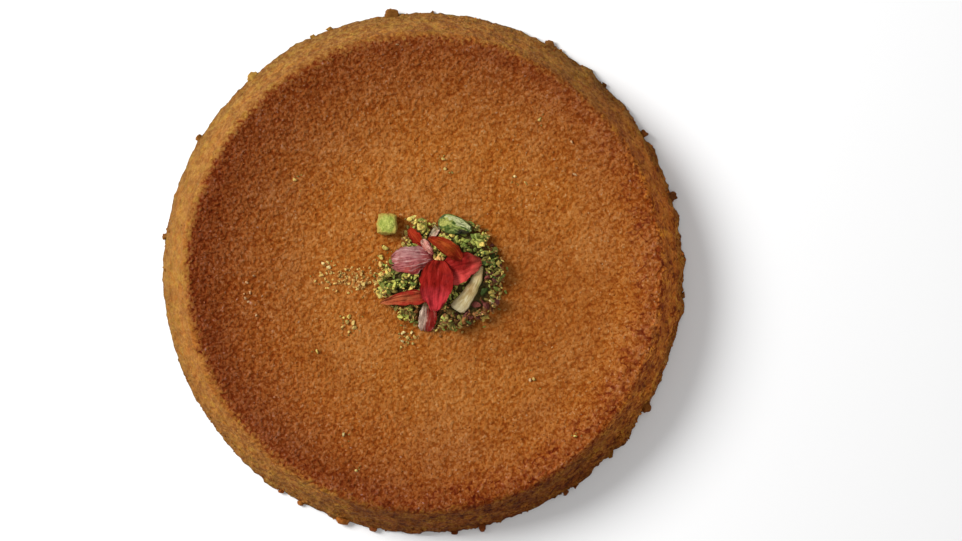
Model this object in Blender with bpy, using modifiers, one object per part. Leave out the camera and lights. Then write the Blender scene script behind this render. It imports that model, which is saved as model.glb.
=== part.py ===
"""A whole round kunafa, turned out of its flared baking tray: a crumbly orange-brown disc with a
raised rim and a dished top, a heap of chopped pistachio in the middle, and dried rose petals on it.

Metres, +Z up. The origin is the middle of the flat underside. +X is the right of the usual view
from above and +Y is its top.
"""

import math
import random

import bmesh
import bpy
from mathutils import Matrix, Vector, noise
from mathutils.bvhtree import BVHTree
from mathutils.geometry import delaunay_2d_cdt

MM = 0.001
GAP = 0.4 * MM
MERGE = 1e-7

# The disc: a wall that leans in, a round-edged rim and a shallow dish with a flat middle.
BASE_RADIUS = 120 * MM
RIM_RADIUS = 105 * MM
RIM_HEIGHT = 28 * MM
RIM_EDGE = 4 * MM
RIM_SLOPE = math.radians(17)
DISH_FLAT_RADIUS = 45 * MM

# The crust's relief: pits below the true surface, a few grains across, a wall that waves, and a
# foot that frays, most of all on the ragged side.
CRUMB_PITCH = 4.6 * MM
CRUMB_DEPTH = 0.9 * MM
WALL_WAVE = 0.7 * MM
WAVES_ROUND = 3.1
FOOT_FRAY = 2.9 * MM
FRAYS_ROUND = 11
RAGGED_SIDE = math.radians(-35)
LEAST_RAGGED = 0.35

# The heap of chopped pistachio, off the middle as it was sprinkled, with its tongues as
# (direction in degrees, half width in degrees, reach past the round heap in mm).
HEAP_CENTRE = Vector((8.0, -1.0)) * MM
HEAP_RADIUS = 21.5 * MM
HEAP_TONGUES = (
    (0, 34, 6.5),
    (52, 26, 5.5),
    (118, 16, 5.5),
    (190, 24, 7.0),
    (232, 16, 3.5),
    (276, 20, 3.0),
    (318, 26, 4.5),
)
HEAP_HEIGHT = 4.5 * MM
HEAP_PITCH = 3.1 * MM
HEAP_ROUGHNESS = 1.3 * MM
HEAP_SKIRT = 0.35 * MM
HEAP_PIECES = 42
PIECE_LENGTHS = (2.4 * MM, 4.0 * MM)
SMOOTH_MARGIN = 13 * MM

# Lumps of crust that stick out at the foot of the wall: (angle in degrees, size in mm).
CRAGS = (
    (97, 5.0),
    (61, 3.6),
    (31, 4.2),
    (17, 3.4),
    (1, 3.4),
    (348, 3.6),
    (330, 3.4),
    (316, 3.6),
    (302, 3.8),
    (283, 3.6),
    (260, 4.6),
    (252, 5.4),
    (191, 3.0),
    (173, 3.0),
    (150, 3.0),
    (132, 3.2),
)
MORE_CRAGS = 20
SMALL_CRAGS = (2.2 * MM, 3.2 * MM)

# Single crumbs of nut that fell away from the heap: (x, y, size), all in mm.
FALLEN_CRUMBS = (
    (9.0, 51.5, 2.6),
    (10.0, 47.0, 2.0),
    (-58.0, 42.0, 2.2),
    (-32.6, -21.6, 2.8),
    (-30.2, -24.0, 2.4),
    (-34.4, -24.8, 2.0),
    (-48.0, -35.6, 2.4),
    (-7.4, -28.6, 2.6),
    (-3.6, -30.4, 2.2),
    (-5.6, -33.4, 2.0),
    (41.6, 43.6, 1.8),
    (46.2, 40.8, 1.6),
    (52.4, 69.0, 2.0),
    (-36.0, -73.0, 2.2),
    (-30.0, -89.0, 2.0),
    (68.4, -73.4, 2.4),
    (50.0, -48.0, 2.0),
)
SPILL_CENTRE = Vector((-34.0, -3.0)) * MM
SPILL_SPREAD = Vector((6.5, 4.5)) * MM
SPILL_CRUMBS = 12
SPILL_SIZES = (1.3 * MM, 2.1 * MM)

# Larger pieces within the heap: (x, y, length, width, turn in degrees), all else in mm.
HEAP_CHUNKS = (
    (25.3, 14.9, 8.4, 6.6, -15),
    (17.3, 13.9, 6.4, 5.4, 30),
    (5.6, 20.4, 4.6, 4.2, 10),
    (-4.5, 23.6, 5.4, 3.6, -35),
    (0.8, 21.4, 5.2, 4.4, 45),
    (9.4, -21.6, 7.6, 4.8, 55),
    (-7.1, -18.9, 7.4, 6.2, 15),
    (27.0, -20.1, 5.8, 3.6, 80),
    (-15.6, -0.9, 6.0, 3.8, -60),
    (-9.9, -4.6, 6.0, 4.6, 20),
    (-15.0, -6.4, 5.8, 5.0, 60),
    (-20.0, -8.0, 5.4, 4.6, 0),
    (27.6, -8.3, 5.2, 4.6, 30),
    (29.4, 0.5, 6.0, 5.0, 70),
    (33.4, -3.6, 5.0, 4.2, 10),
    (32.6, 2.9, 4.8, 4.0, 50),
    (31.4, -12.4, 7.6, 3.8, 70),
    (24.0, -14.2, 5.2, 4.4, 20),
    (30.0, 7.2, 5.0, 4.2, -20),
    (17.6, -20.0, 4.6, 3.8, 40),
)

PETAL_THICKNESS = 0.5 * MM
PETAL_RIPPLE = 0.7 * MM
PETAL_NICK = 0.16
PETAL_STEPS_ALONG = 8
PETAL_STEPS_ACROSS = 4
# Base and tip in plan, then the half width, the bow to the left, the arch, how far the sides and
# the tip turn up, all in mm, how far along its length each is widest, and how blunt its ends are:
# near 1 it narrows evenly, near 0 it is wide to the end.
PETALS = {
    "petal_pale_low": dict(
        base=(2.6, -11.6), tip=(1.2, -26.8), half=4.1, bow=0.4, arch=1.0, cup=2.0, lift=0.2, wide=0.6,
        blunt=0.45,
    ),
    "petal_red_long": dict(
        base=(3.2, -10.6), tip=(-19.4, -13.8), half=3.4, bow=-0.8, arch=1.6, cup=1.5, lift=0.4, wide=0.34,
        blunt=0.8,
    ),
    "petal_red_right": dict(
        base=(6.0, -0.8), tip=(26.6, 5.0), half=7.4, bow=-0.4, arch=1.4, cup=1.2, lift=1.4, wide=0.52,
        blunt=0.8,
    ),
    "petal_purple": dict(
        base=(4.6, 6.6), tip=(-14.6, 4.6), half=6.3, bow=-0.2, arch=2.2, cup=-1.2, lift=0.2, wide=0.52,
        blunt=0.5,
    ),
    "petal_lilac": dict(
        base=(3.0, 14.8), tip=(7.2, 20.6), half=1.6, bow=0.2, arch=0.6, cup=0.6, lift=0.8, wide=0.6,
        blunt=0.7,
    ),
    "petal_red_upper": dict(
        base=(17.4, 6.2), tip=(2.2, 15.8), half=3.5, bow=-1.0, arch=1.6, cup=1.6, lift=0.8, wide=0.42,
        blunt=0.75,
    ),
    "petal_red_tip": dict(
        base=(1.2, 11.2), tip=(-6.4, 20.0), half=2.6, bow=0.4, arch=1.2, cup=0.9, lift=1.2, wide=0.62,
        blunt=0.8,
    ),
    "petal_red_middle": dict(
        base=(7.0, 5.6), tip=(5.4, -17.4), half=7.7, bow=-0.4, arch=1.6, cup=1.8, lift=0.2, wide=0.42,
        blunt=0.75,
    ),
    "petal_pink": dict(
        base=(4.6, 8.2), tip=(-0.4, 15.0), half=1.9, bow=0.3, arch=0.4, cup=0.6, lift=0.8, wide=0.6,
        blunt=0.7,
    ),
}

# Nut pieces as large as a berry, each on its own.
CHUNK_PLACE = Vector((-16.2, 22.0)) * MM
CHUNK_SIZE = Vector((9.0, 9.3, 6.4)) * MM
CHUNK_TURN = math.radians(-3)
CHUNK_BEVEL = 0.22
CHUNK_FOOT = 0.46
SLICE_PLACE = Vector((14.6, 21.4)) * MM
SLICE_SIZE = Vector((15.6, 8.4, 5.7)) * MM
SLICE_TURN = math.radians(-15)
SLICE_TILT = math.radians(8)
SLICE_CUT = (0.14, 0.23)
SLICE_TAPER = 0.55
SLIVER_ENDS = ((15.0, -17.0), (26.8, 2.9))
SLIVER_WIDTH = 7.8 * MM
SLIVER_THICKNESS = 1.8 * MM
SLIVER_TAPER = 0.55
SLIVER_TIP = 0.31
SLIVER_BLUNTNESS = 0.3
SLIVER_BOW = 1.1 * MM
SLIVER_ARCH = 0.9 * MM
SLIVER_CUP = 0.35 * MM

COLOURS = {
    "crust": (0.37, 0.13, 0.028),
    "pistachio": (0.33, 0.33, 0.07),
    "chunk": (0.42, 0.48, 0.12),
    "green_slice": (0.20, 0.33, 0.10),
    "sliver": (0.62, 0.55, 0.34),
    "petal_red": (0.36, 0.012, 0.010),
    "petal_purple": (0.34, 0.06, 0.10),
    "petal_pale": (0.62, 0.36, 0.32),
}


def clear_scene():
    for obj in list(bpy.data.objects):
        bpy.data.objects.remove(obj)


def rounded(value, least):
    return max(least, round(value))


# The disc's profile


def wall_lean():
    """Angle of the wall from upright: the tangent from the foot to the rim's round edge."""
    run = BASE_RADIUS - RIM_RADIUS
    rise = RIM_HEIGHT - RIM_EDGE
    return math.atan2(run, rise) - math.asin(RIM_EDGE / math.hypot(run, rise))


def dish_edge():
    """(radius, height) where the dish meets the rim's round edge."""
    radius = RIM_RADIUS - RIM_EDGE * math.sin(RIM_SLOPE)
    height = RIM_HEIGHT - RIM_EDGE + RIM_EDGE * math.cos(RIM_SLOPE)
    return radius, height


def dish_bend():
    """The dish rises as this times the square of the distance past its flat middle."""
    return math.tan(RIM_SLOPE) / (2 * (dish_edge()[0] - DISH_FLAT_RADIUS))


def dish_height(radius):
    edge_radius, edge_height = dish_edge()
    floor = edge_height - dish_bend() * (edge_radius - DISH_FLAT_RADIUS) ** 2
    return floor + dish_bend() * max(0.0, radius - DISH_FLAT_RADIUS) ** 2


FLOOR = dish_height(0)


def wall_stretch():
    """(radius, height, outward, upward) up the wall, the last two being the surface's normal."""
    lean = wall_lean()
    top_radius = RIM_RADIUS + RIM_EDGE * math.cos(lean)
    top_height = RIM_HEIGHT - RIM_EDGE + RIM_EDGE * math.sin(lean)
    steps = rounded(math.hypot(BASE_RADIUS - top_radius, top_height) / CRUMB_PITCH, 2)
    for step in range(steps):
        share = step / steps
        radius = BASE_RADIUS + share * (top_radius - BASE_RADIUS)
        yield radius, share * top_height, math.cos(lean), math.sin(lean)


def rim_stretch():
    start = wall_lean()
    end = math.pi / 2 + RIM_SLOPE
    steps = rounded((end - start) * RIM_EDGE / CRUMB_PITCH * 2, 3)
    for step in range(steps):
        angle = start + (end - start) * step / steps
        out, up = math.cos(angle), math.sin(angle)
        yield RIM_RADIUS + RIM_EDGE * out, RIM_HEIGHT - RIM_EDGE + RIM_EDGE * up, out, up


def dish_stretch():
    edge_radius = dish_edge()[0]
    steps = rounded(edge_radius / CRUMB_PITCH, 4)
    for step in range(steps):
        radius = edge_radius * (1 - step / steps)
        slope = 2 * dish_bend() * max(0.0, radius - DISH_FLAT_RADIUS)
        length = math.hypot(1, slope)
        yield radius, dish_height(radius), -slope / length, 1 / length


# Rings of points joined into one skin


def skin_of_rings(profile, pitch):
    """A closed mesh over rings from the foot to the middle, and each ring's points and normal.

    The number of points in a ring follows its length. They are joined as they would be with the
    profile laid flat, so that the triangles on the steep wall come out as even as the others.
    """
    mesh = bmesh.new()
    profile = list(profile)
    along = [Vector((radius, height)) for radius, height, *_ in profile]
    along.append(Vector((0, along[-1].y)))
    left = sum((after - before).length for before, after in zip(along, along[1:]))
    rings = []
    laid_flat = []
    for index, (radius, height, out, up) in enumerate(profile):
        count = rounded(math.tau * radius / pitch, 6)
        verts = []
        for step in range(count):
            angle = math.tau * (step + 0.5 * (index % 2)) / count
            direction = Vector((math.cos(angle), math.sin(angle)))
            verts.append(mesh.verts.new((*(direction * radius), height)))
            laid_flat.append(direction * left)
        rings.append((verts, height, out, up))
        left -= (along[index + 1] - along[index]).length
    points = [vert for verts, *_ in rings for vert in verts]
    for corners in delaunay_2d_cdt(laid_flat, [], [], 0, MERGE)[2]:
        mesh.faces.new([points[corner] for corner in corners])
    mesh.faces.new(rings[0][0])
    bmesh.ops.recalc_face_normals(mesh, faces=mesh.faces)
    return mesh, rings


def turned_to(angle, direction):
    """From 1 where the angle faces the direction to 0 where it faces away."""
    return 0.5 + 0.5 * math.cos(angle - direction)


def near_heap(place):
    return (place.xy - HEAP_CENTRE).length < HEAP_RADIUS + SMOOTH_MARGIN


def roughen_crust(rings):
    """Sinks each point below the true surface, waves the wall, and frays the foot."""
    draw = random.Random(11)
    for verts, height, out, up in rings:
        level = height / RIM_HEIGHT
        for vert in verts:
            angle = math.atan2(vert.co.y, vert.co.x)
            outward = Vector((math.cos(angle), math.sin(angle), 0))
            depth = 0.0 if near_heap(vert.co) else CRUMB_DEPTH * draw.random()
            if out > up:
                wave = noise.noise(outward * WAVES_ROUND + Vector((0, 0, level)))
                frays = max(0.0, noise.noise(outward * FRAYS_ROUND + Vector((0, 0, 2 * level))))
                ragged = LEAST_RAGGED + (1 - LEAST_RAGGED) * turned_to(angle, RAGGED_SIDE)
                vert.co += outward * (WALL_WAVE * wave + FOOT_FRAY * frays * ragged * (1 - level))
            vert.co -= outward * depth * out
            if height > 0:
                vert.co.z -= depth * up


def object_from(mesh, name, material):
    data = bpy.data.meshes.new(name)
    bmesh.ops.triangulate(mesh, faces=[f for f in mesh.faces if len(f.verts) == 4])
    mesh.to_mesh(data)
    mesh.free()
    obj = bpy.data.objects.new(name, data)
    data.materials.append(material)
    PARTS.objects.link(obj)
    return obj


# Crumbs, and the union that fuses them on


def add_crumb(name, centre, size, turn, draw, lowest=GAP, bumpiness=0.22):
    """A lumpy piece of 20 triangles, flat where it would reach below the lowest height."""
    mesh = bmesh.new()
    bmesh.ops.create_icosphere(mesh, subdivisions=1, radius=0.5)
    for vert in mesh.verts:
        vert.co *= 1 + bumpiness * draw.uniform(-1, 1)
    spin = Matrix.Rotation(turn, 4, "Z") @ Matrix.Rotation(draw.uniform(-0.4, 0.4), 4, "X")
    place = Matrix.Translation(centre) @ spin @ Matrix.Diagonal((*size, 1))
    bmesh.ops.transform(mesh, matrix=place, verts=mesh.verts)
    for vert in mesh.verts:
        vert.co.z = max(vert.co.z, lowest)
    data = bpy.data.meshes.new(name)
    mesh.to_mesh(data)
    mesh.free()
    obj = bpy.data.objects.new(name, data)
    LOOSE.objects.link(obj)
    return obj


def fuse_loose_onto(obj):
    """One Boolean union with everything in the loose collection, which is then emptied."""
    join = obj.modifiers.new("fuse", "BOOLEAN")
    join.operation = "UNION"
    join.operand_type = "COLLECTION"
    join.collection = LOOSE
    join.solver = "EXACT"
    bpy.context.view_layer.update()
    graph = bpy.context.evaluated_depsgraph_get()
    fused = bpy.data.meshes.new_from_object(obj.evaluated_get(graph))
    obj.modifiers.clear()
    old, obj.data = obj.data, fused
    bpy.data.meshes.remove(old)
    fused.name = obj.name
    keep_outer_skin(fused)
    for loose in list(LOOSE.objects):
        bpy.data.objects.remove(loose)


def keep_outer_skin(data):
    """Keeps the largest joined stretch of faces, which fills sealed hollows and drops scraps."""
    mesh = bmesh.new()
    mesh.from_mesh(data)
    unseen = set(mesh.verts)
    stretches = []
    while unseen:
        waiting = [unseen.pop()]
        stretch = []
        while waiting:
            vert = waiting.pop()
            stretch.append(vert)
            beside = {edge.other_vert(vert) for edge in vert.link_edges} & unseen
            unseen -= beside
            waiting.extend(beside)
        stretches.append(stretch)
    stretches.sort(key=len)
    for stretch in stretches[:-1]:
        bmesh.ops.delete(mesh, geom=stretch, context="VERTS")
    mesh.to_mesh(data)
    mesh.free()


def uneven(size, draw):
    """A length, width and height near size."""
    return tuple(size * draw.uniform(0.75, 1.2) for _ in range(3))


def add_crags(draw):
    """The lumps at the foot of the wall: those seen, then smaller ones, most on the ragged side."""
    lumps = [(math.radians(angle), size * MM) for angle, size in CRAGS]
    while len(lumps) < len(CRAGS) + MORE_CRAGS:
        angle = draw.uniform(0, math.tau)
        if draw.random() < turned_to(angle, RAGGED_SIDE):
            lumps.append((angle, draw.uniform(*SMALL_CRAGS)))
    for index, (angle, size) in enumerate(lumps):
        height = size * draw.uniform(0.55, 1.3)
        radius = BASE_RADIUS - height * math.tan(wall_lean()) - 0.1 * size
        centre = Vector((radius * math.cos(angle), radius * math.sin(angle), height))
        add_crumb(f"crag_{index}", centre, uneven(size, draw), angle, draw)


def add_fallen_crumbs(draw):
    spots = [(Vector((x, y)) * MM, size * MM) for x, y, size in FALLEN_CRUMBS]
    for _ in range(SPILL_CRUMBS):
        off = Vector((draw.gauss(0, SPILL_SPREAD.x), draw.gauss(0, SPILL_SPREAD.y)))
        spots.append((SPILL_CENTRE + off, draw.uniform(*SPILL_SIZES)))
    for index, (spot, size) in enumerate(spots):
        centre = Vector((spot.x, spot.y, dish_height(spot.length) + 0.12 * size))
        add_crumb(f"fallen_{index}", centre, uneven(size, draw), draw.uniform(0, 3), draw)


def make_crust():
    profile = [*wall_stretch(), *rim_stretch(), *dish_stretch()]
    mesh, rings = skin_of_rings(profile, CRUMB_PITCH)
    roughen_crust(rings)
    crust = object_from(mesh, "kunafa", MATERIALS["crust"])
    draw = random.Random(23)
    add_crags(draw)
    add_fallen_crumbs(draw)
    fuse_loose_onto(crust)
    return crust


# The heap


def heap_reach(angle):
    """The heap's radius in this direction: round, with tongues of crumbs that spilt further."""
    reach = HEAP_RADIUS
    for towards, half_width, extra in HEAP_TONGUES:
        off = math.remainder(angle - math.radians(towards), math.tau) / math.radians(half_width)
        reach += extra * MM * math.exp(-(off**2))
    return reach


def heap_height(x, y):
    """Height of the bare heap above the dish's floor, 0 past its edge."""
    across = Vector((x, y)) - HEAP_CENTRE
    share = across.length / heap_reach(math.atan2(across.y, across.x))
    return HEAP_HEIGHT * (1 - share**2) ** 0.75 if share < 1 else 0.0


def heap_profile():
    steps = rounded(HEAP_RADIUS / HEAP_PITCH, 4)
    for step in range(steps):
        radius = HEAP_RADIUS * (1 - step / steps)
        yield radius, 0.0, 0.0, 1.0


def shape_heap(rings):
    """Spreads the rings to the heap's outline and raises them to its crumbly height."""
    draw = random.Random(5)
    for index, (verts, *_) in enumerate(rings):
        for vert in verts:
            angle = math.atan2(vert.co.y, vert.co.x)
            vert.co.xy *= heap_reach(angle) / HEAP_RADIUS
            if not index:
                vert.co.xy *= draw.uniform(0.9, 1.02)
            vert.co.xy += HEAP_CENTRE
            raised = 0.0
            if index:
                raised = heap_height(vert.co.x, vert.co.y) - HEAP_ROUGHNESS * draw.random()
            vert.co.z = FLOOR + GAP + max(HEAP_SKIRT if index else 0.0, raised)


def near_line(spot, start, end):
    """(distance, share of its length) of the nearest point of the line, whose ends are in mm."""
    first, along = Vector(start) * MM, (Vector(end) - Vector(start)) * MM
    share = min(1.0, max(0.0, (spot - first).dot(along) / along.length_squared))
    return (spot - first - along * share).length, share


def under_topping(x, y, margin):
    """True if the spot is under a petal, the slice or the sliver, or within the margin of one."""
    spot = Vector((x, y))
    for shape in PETALS.values():
        distance, share = near_line(spot, shape["base"], shape["tip"])
        if distance < shape["half"] * MM * petal_outline(share, shape) + margin:
            return True
    if (spot - SLICE_PLACE).length < 0.4 * SLICE_SIZE.x + margin:
        return True
    return near_line(spot, *SLIVER_ENDS)[0] < SLIVER_WIDTH / 2 + margin


def add_heap_pieces(draw):
    """The larger chunks, then smaller ones wherever no petal lies."""
    chunks = []
    for x, y, length, width, turn in HEAP_CHUNKS:
        chunks.append((x * MM, y * MM, length * MM, width * MM, math.radians(turn)))
    while len(chunks) < len(HEAP_CHUNKS) + HEAP_PIECES:
        angle = draw.uniform(0, math.tau)
        reach = (heap_reach(angle) - MM) * draw.random() ** 0.3
        x = HEAP_CENTRE.x + reach * math.cos(angle)
        y = HEAP_CENTRE.y + reach * math.sin(angle)
        length = draw.uniform(*PIECE_LENGTHS)
        if not under_topping(x, y, 0.3 * length):
            chunks.append((x, y, length, 0.8 * length, draw.uniform(0, math.pi)))
    for index, (x, y, length, width, turn) in enumerate(chunks):
        if under_topping(x, y, 0.15 * width):
            continue
        size = (length, width, width * draw.uniform(0.75, 0.95))
        lowest = FLOOR + GAP + 0.45 * size[2]
        centre = Vector((x, y, max(lowest, FLOOR + heap_height(x, y) + 0.1 * size[2])))
        add_crumb(f"piece_{index}", centre, size, turn, draw, FLOOR + GAP, 0.18)


def make_heap():
    mesh, rings = skin_of_rings(heap_profile(), HEAP_PITCH)
    shape_heap(rings)
    bmesh.ops.recalc_face_normals(mesh, faces=mesh.faces)
    heap = object_from(mesh, "pistachio_heap", MATERIALS["pistachio"])
    add_heap_pieces(random.Random(41))
    fuse_loose_onto(heap)
    return heap


# What lies on the heap, each piece let down until it rests on those below


def world_tree(obj):
    mesh = bmesh.new()
    graph = bpy.context.evaluated_depsgraph_get()
    mesh.from_object(obj, graph)
    mesh.transform(obj.matrix_world)
    tree = BVHTree.FromBMesh(mesh)
    mesh.free()
    return tree


def top_of(trees, x, y):
    """Height of the highest surface at this spot, or of the dish's floor."""
    above, down = Vector((x, y, 2 * RIM_HEIGHT)), Vector((0, 0, -1))
    found = [tree.ray_cast(above, down)[0] for tree in trees]
    return max([hit.z for hit in found if hit] + [FLOOR])


def spots_on(mesh):
    """The mesh's corners, and spots along its edges and within its faces."""
    spots = [vert.co.copy() for vert in mesh.verts]
    for edge in mesh.edges:
        start, end = (vert.co for vert in edge.verts)
        spots += [start.lerp(end, share) for share in (0.25, 0.5, 0.75)]
    spots += [face.calc_center_median() for face in mesh.faces]
    return spots


def rest_on(obj, undersides, trees):
    """Moves the object down or up so that its lowest clearance over the trees is the gap."""
    clearance = min(spot.z - top_of(trees, spot.x, spot.y) for spot in undersides)
    for vert in obj.data.vertices:
        vert.co.z += GAP - clearance


def petal_outline(share, shape):
    """Half width this far along the petal, as a share of its widest."""
    power = math.log(0.5) / math.log(shape["wide"])
    return max(0.2, math.sin(math.pi * (0.04 + 0.92 * share) ** power) ** shape["blunt"])


def petal_point(shape, along, across):
    """A point of the petal's sheet: along runs 0 to 1 from base to tip, across -1 to 1."""
    start, end = Vector(shape["base"]) * MM, Vector(shape["tip"]) * MM
    direction = (end - start).normalized()
    side = Vector((-direction.y, direction.x))
    outline = petal_outline(along, shape)
    spot = start.lerp(end, along) + side * (shape["bow"] * MM * math.sin(math.pi * along))
    nick = noise.noise(Vector((5 * along, 3 * across, start.x / MM)))
    spot += side * across * shape["half"] * MM * outline * (1 + PETAL_NICK * nick)
    ripple = PETAL_RIPPLE * noise.noise(Vector((spot.x, spot.y, 0)) / (5 * MM))
    height = shape["arch"] * math.sin(math.pi * along) + shape["lift"] * along**2
    height += shape["cup"] * across**2 * outline
    return Vector((spot.x, spot.y, heap_height(spot.x, spot.y) + height * MM + ripple))


def lay_sheet(mesh, name, material, thickness, trees):
    """Lets an open sheet down onto what is below it, and thickens it upwards."""
    bmesh.ops.triangulate(mesh, faces=mesh.faces)
    undersides = spots_on(mesh)
    piece = object_from(mesh, name, material)
    rest_on(piece, undersides, trees)
    thicken = piece.modifiers.new("thickness", "SOLIDIFY")
    thicken.thickness = thickness
    thicken.offset = 1
    bpy.context.view_layer.update()
    trees.append(world_tree(piece))


def lay_solid(mesh, name, material, trees):
    piece = object_from(mesh, name, material)
    rest_on(piece, [vert.co.copy() for vert in piece.data.vertices], trees)
    bpy.context.view_layer.update()
    trees.append(world_tree(piece))


def make_petal(name, shape, material, trees):
    mesh = bmesh.new()
    grid = bmesh.ops.create_grid(
        mesh, x_segments=PETAL_STEPS_ALONG, y_segments=PETAL_STEPS_ACROSS, size=1
    )
    for vert in grid["verts"]:
        vert.co = petal_point(shape, (vert.co.x + 1) / 2, vert.co.y)
    lay_sheet(mesh, name, material, PETAL_THICKNESS, trees)


def make_chunk(trees):
    """A broken nut piece: a rounded block with knocked corners and a flat foot."""
    draw = random.Random(3)
    mesh = bmesh.new()
    bmesh.ops.create_cube(mesh, size=1)
    corners = mesh.edges[:] + mesh.verts[:]
    bmesh.ops.bevel(mesh, geom=corners, offset=CHUNK_BEVEL, segments=2, profile=0.5, affect="EDGES")
    bmesh.ops.triangulate(mesh, faces=mesh.faces)
    for vert in mesh.verts:
        vert.co *= draw.uniform(0.93, 1.07)
        vert.co.z = max(vert.co.z, -CHUNK_FOOT)
    place = Matrix.Translation((*CHUNK_PLACE, RIM_HEIGHT)) @ Matrix.Rotation(CHUNK_TURN, 4, "Z")
    place @= Matrix.Diagonal((*CHUNK_SIZE, 1))
    bmesh.ops.transform(mesh, matrix=place, verts=mesh.verts)
    lay_solid(mesh, "pistachio_chunk", MATERIALS["chunk"], trees)


def make_slice(trees):
    """Half a kernel: an egg-shaped piece with its cut face up."""
    draw = random.Random(8)
    mesh = bmesh.new()
    bmesh.ops.create_uvsphere(mesh, u_segments=14, v_segments=8, radius=0.5)
    for vert in mesh.verts:
        vert.co.z = min(vert.co.z, draw.uniform(*SLICE_CUT))
        vert.co.y *= 1 - SLICE_TAPER * vert.co.x
    place = Matrix.Translation((*SLICE_PLACE, RIM_HEIGHT)) @ Matrix.Rotation(SLICE_TURN, 4, "Z")
    place @= Matrix.Rotation(SLICE_TILT, 4, "X") @ Matrix.Diagonal((*SLICE_SIZE, 1))
    bmesh.ops.transform(mesh, matrix=place, verts=mesh.verts)
    bmesh.ops.triangulate(mesh, faces=mesh.faces)
    lay_solid(mesh, "pistachio_slice", MATERIALS["green_slice"], trees)


def make_sliver(trees):
    """A long curved sliver of blanched nut, blunt at its lower end and narrow at the other."""
    start, end = (Vector(point) * MM for point in SLIVER_ENDS)
    direction = (end - start).normalized()
    side = Vector((-direction.y, direction.x))
    mesh = bmesh.new()
    grid = bmesh.ops.create_grid(mesh, x_segments=10, y_segments=3, size=1)
    for vert in grid["verts"]:
        along, across = (vert.co.x + 1) / 2, vert.co.y
        share = (1 - SLIVER_TAPER * along) * min(1.0, SLIVER_BLUNTNESS + (1 - along) / SLIVER_TIP)
        off = across * share * SLIVER_WIDTH / 2 - SLIVER_BOW * math.sin(math.pi * along)
        spot = start.lerp(end, along) + side * off
        rise = SLIVER_ARCH * math.sin(math.pi * along) + SLIVER_CUP * share * across**2
        vert.co = Vector((spot.x, spot.y, heap_height(spot.x, spot.y) + rise))
    lay_sheet(mesh, "nut_sliver", MATERIALS["sliver"], SLIVER_THICKNESS, trees)


def petal_material(name):
    if "red" in name:
        return MATERIALS["petal_red"]
    return MATERIALS["petal_purple" if "purple" in name else "petal_pale"]


def make_material(name, colour):
    material = bpy.data.materials.new(name)
    material.use_nodes = True
    shader = material.node_tree.nodes["Principled BSDF"]
    shader.inputs["Base Color"].default_value = (*colour, 1)
    shader.inputs["Roughness"].default_value = 0.45 if "petal" in name else 0.8
    shader.inputs["Metallic"].default_value = 0
    return material


def new_collection(name):
    collection = bpy.data.collections.new(name)
    bpy.context.scene.collection.children.link(collection)
    return collection


clear_scene()
PARTS = new_collection("kunafa")
LOOSE = new_collection("loose crumbs")
MATERIALS = {name: make_material(name, colour) for name, colour in COLOURS.items()}

make_crust()
placed = [world_tree(make_heap())]
make_slice(placed)
make_sliver(placed)
for petal_name, petal_shape in PETALS.items():
    make_petal(petal_name, petal_shape, petal_material(petal_name), placed)
make_chunk(placed)
for part in PARTS.objects:
    if part.name != "pistachio_heap":
        part.data.shade_smooth()
        part.data.set_sharp_from_angle(angle=math.radians(40))
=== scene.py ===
"""The looks of the round kunafa: its crumbly crust, the chopped pistachio and the rose petals.

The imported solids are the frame. Each of them is replaced by a finer piece of the same form in the
same place, made from the same named values that the solids are made from.
"""

import math
from collections import namedtuple

import bmesh
import bpy
import numpy as np
from mathutils import Matrix, Vector, noise
from mathutils.bvhtree import BVHTree


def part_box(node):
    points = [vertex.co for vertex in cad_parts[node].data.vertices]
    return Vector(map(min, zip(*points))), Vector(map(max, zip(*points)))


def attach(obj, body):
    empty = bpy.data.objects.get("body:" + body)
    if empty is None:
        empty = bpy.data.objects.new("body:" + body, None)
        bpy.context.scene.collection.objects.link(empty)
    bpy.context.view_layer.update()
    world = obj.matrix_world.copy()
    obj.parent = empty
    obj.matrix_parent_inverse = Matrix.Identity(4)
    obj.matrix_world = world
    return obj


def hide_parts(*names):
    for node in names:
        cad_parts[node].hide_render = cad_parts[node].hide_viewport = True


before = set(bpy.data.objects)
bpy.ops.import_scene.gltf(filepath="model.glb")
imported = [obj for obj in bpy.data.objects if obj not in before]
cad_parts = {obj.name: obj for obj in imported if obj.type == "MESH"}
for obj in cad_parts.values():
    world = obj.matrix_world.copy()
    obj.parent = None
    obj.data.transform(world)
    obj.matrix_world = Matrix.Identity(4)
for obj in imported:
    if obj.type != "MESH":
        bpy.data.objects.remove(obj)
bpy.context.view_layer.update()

# A millimetre in metres, the gap between the solids, straight down, and the factors that flatten a place
# to its plan.
MM = 0.001
GAP = 0.4 * MM
DOWN = Vector((0, 0, -1))
FLAT = (1.0, 1.0, 0.0)

# The seed of each kind's random draws.
SEEDS = {
    "skin": 7, "core": 19, "chips": 31, "dust": 47, "middle": 53, "fallen": 61, "crumbs": 83, "crags": 97,
}

# The camera looks straight down on the middle of the disc, which the photograph shows off centre.
CAMERA_HEIGHT = 1.0476
CAMERA_LENS = 85
CAMERA_SENSOR = 36
CAMERA_SHIFT = (0.0603, 0.0023)

# Light: a soft key from the upper left of the picture and an even surround.
KEY_AZIMUTH = math.radians(155)
KEY_ELEVATION = math.radians(38)
KEY_DISTANCE = 1.3
KEY_SIZE = 0.6
KEY_POWER = 21.7
SURROUND = 0.535
FLOOR_SIZE = 6.0
FLOOR_DROP = 0.2 * MM
FLOOR_COLOUR = (0.90, 0.90, 0.90)

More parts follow.
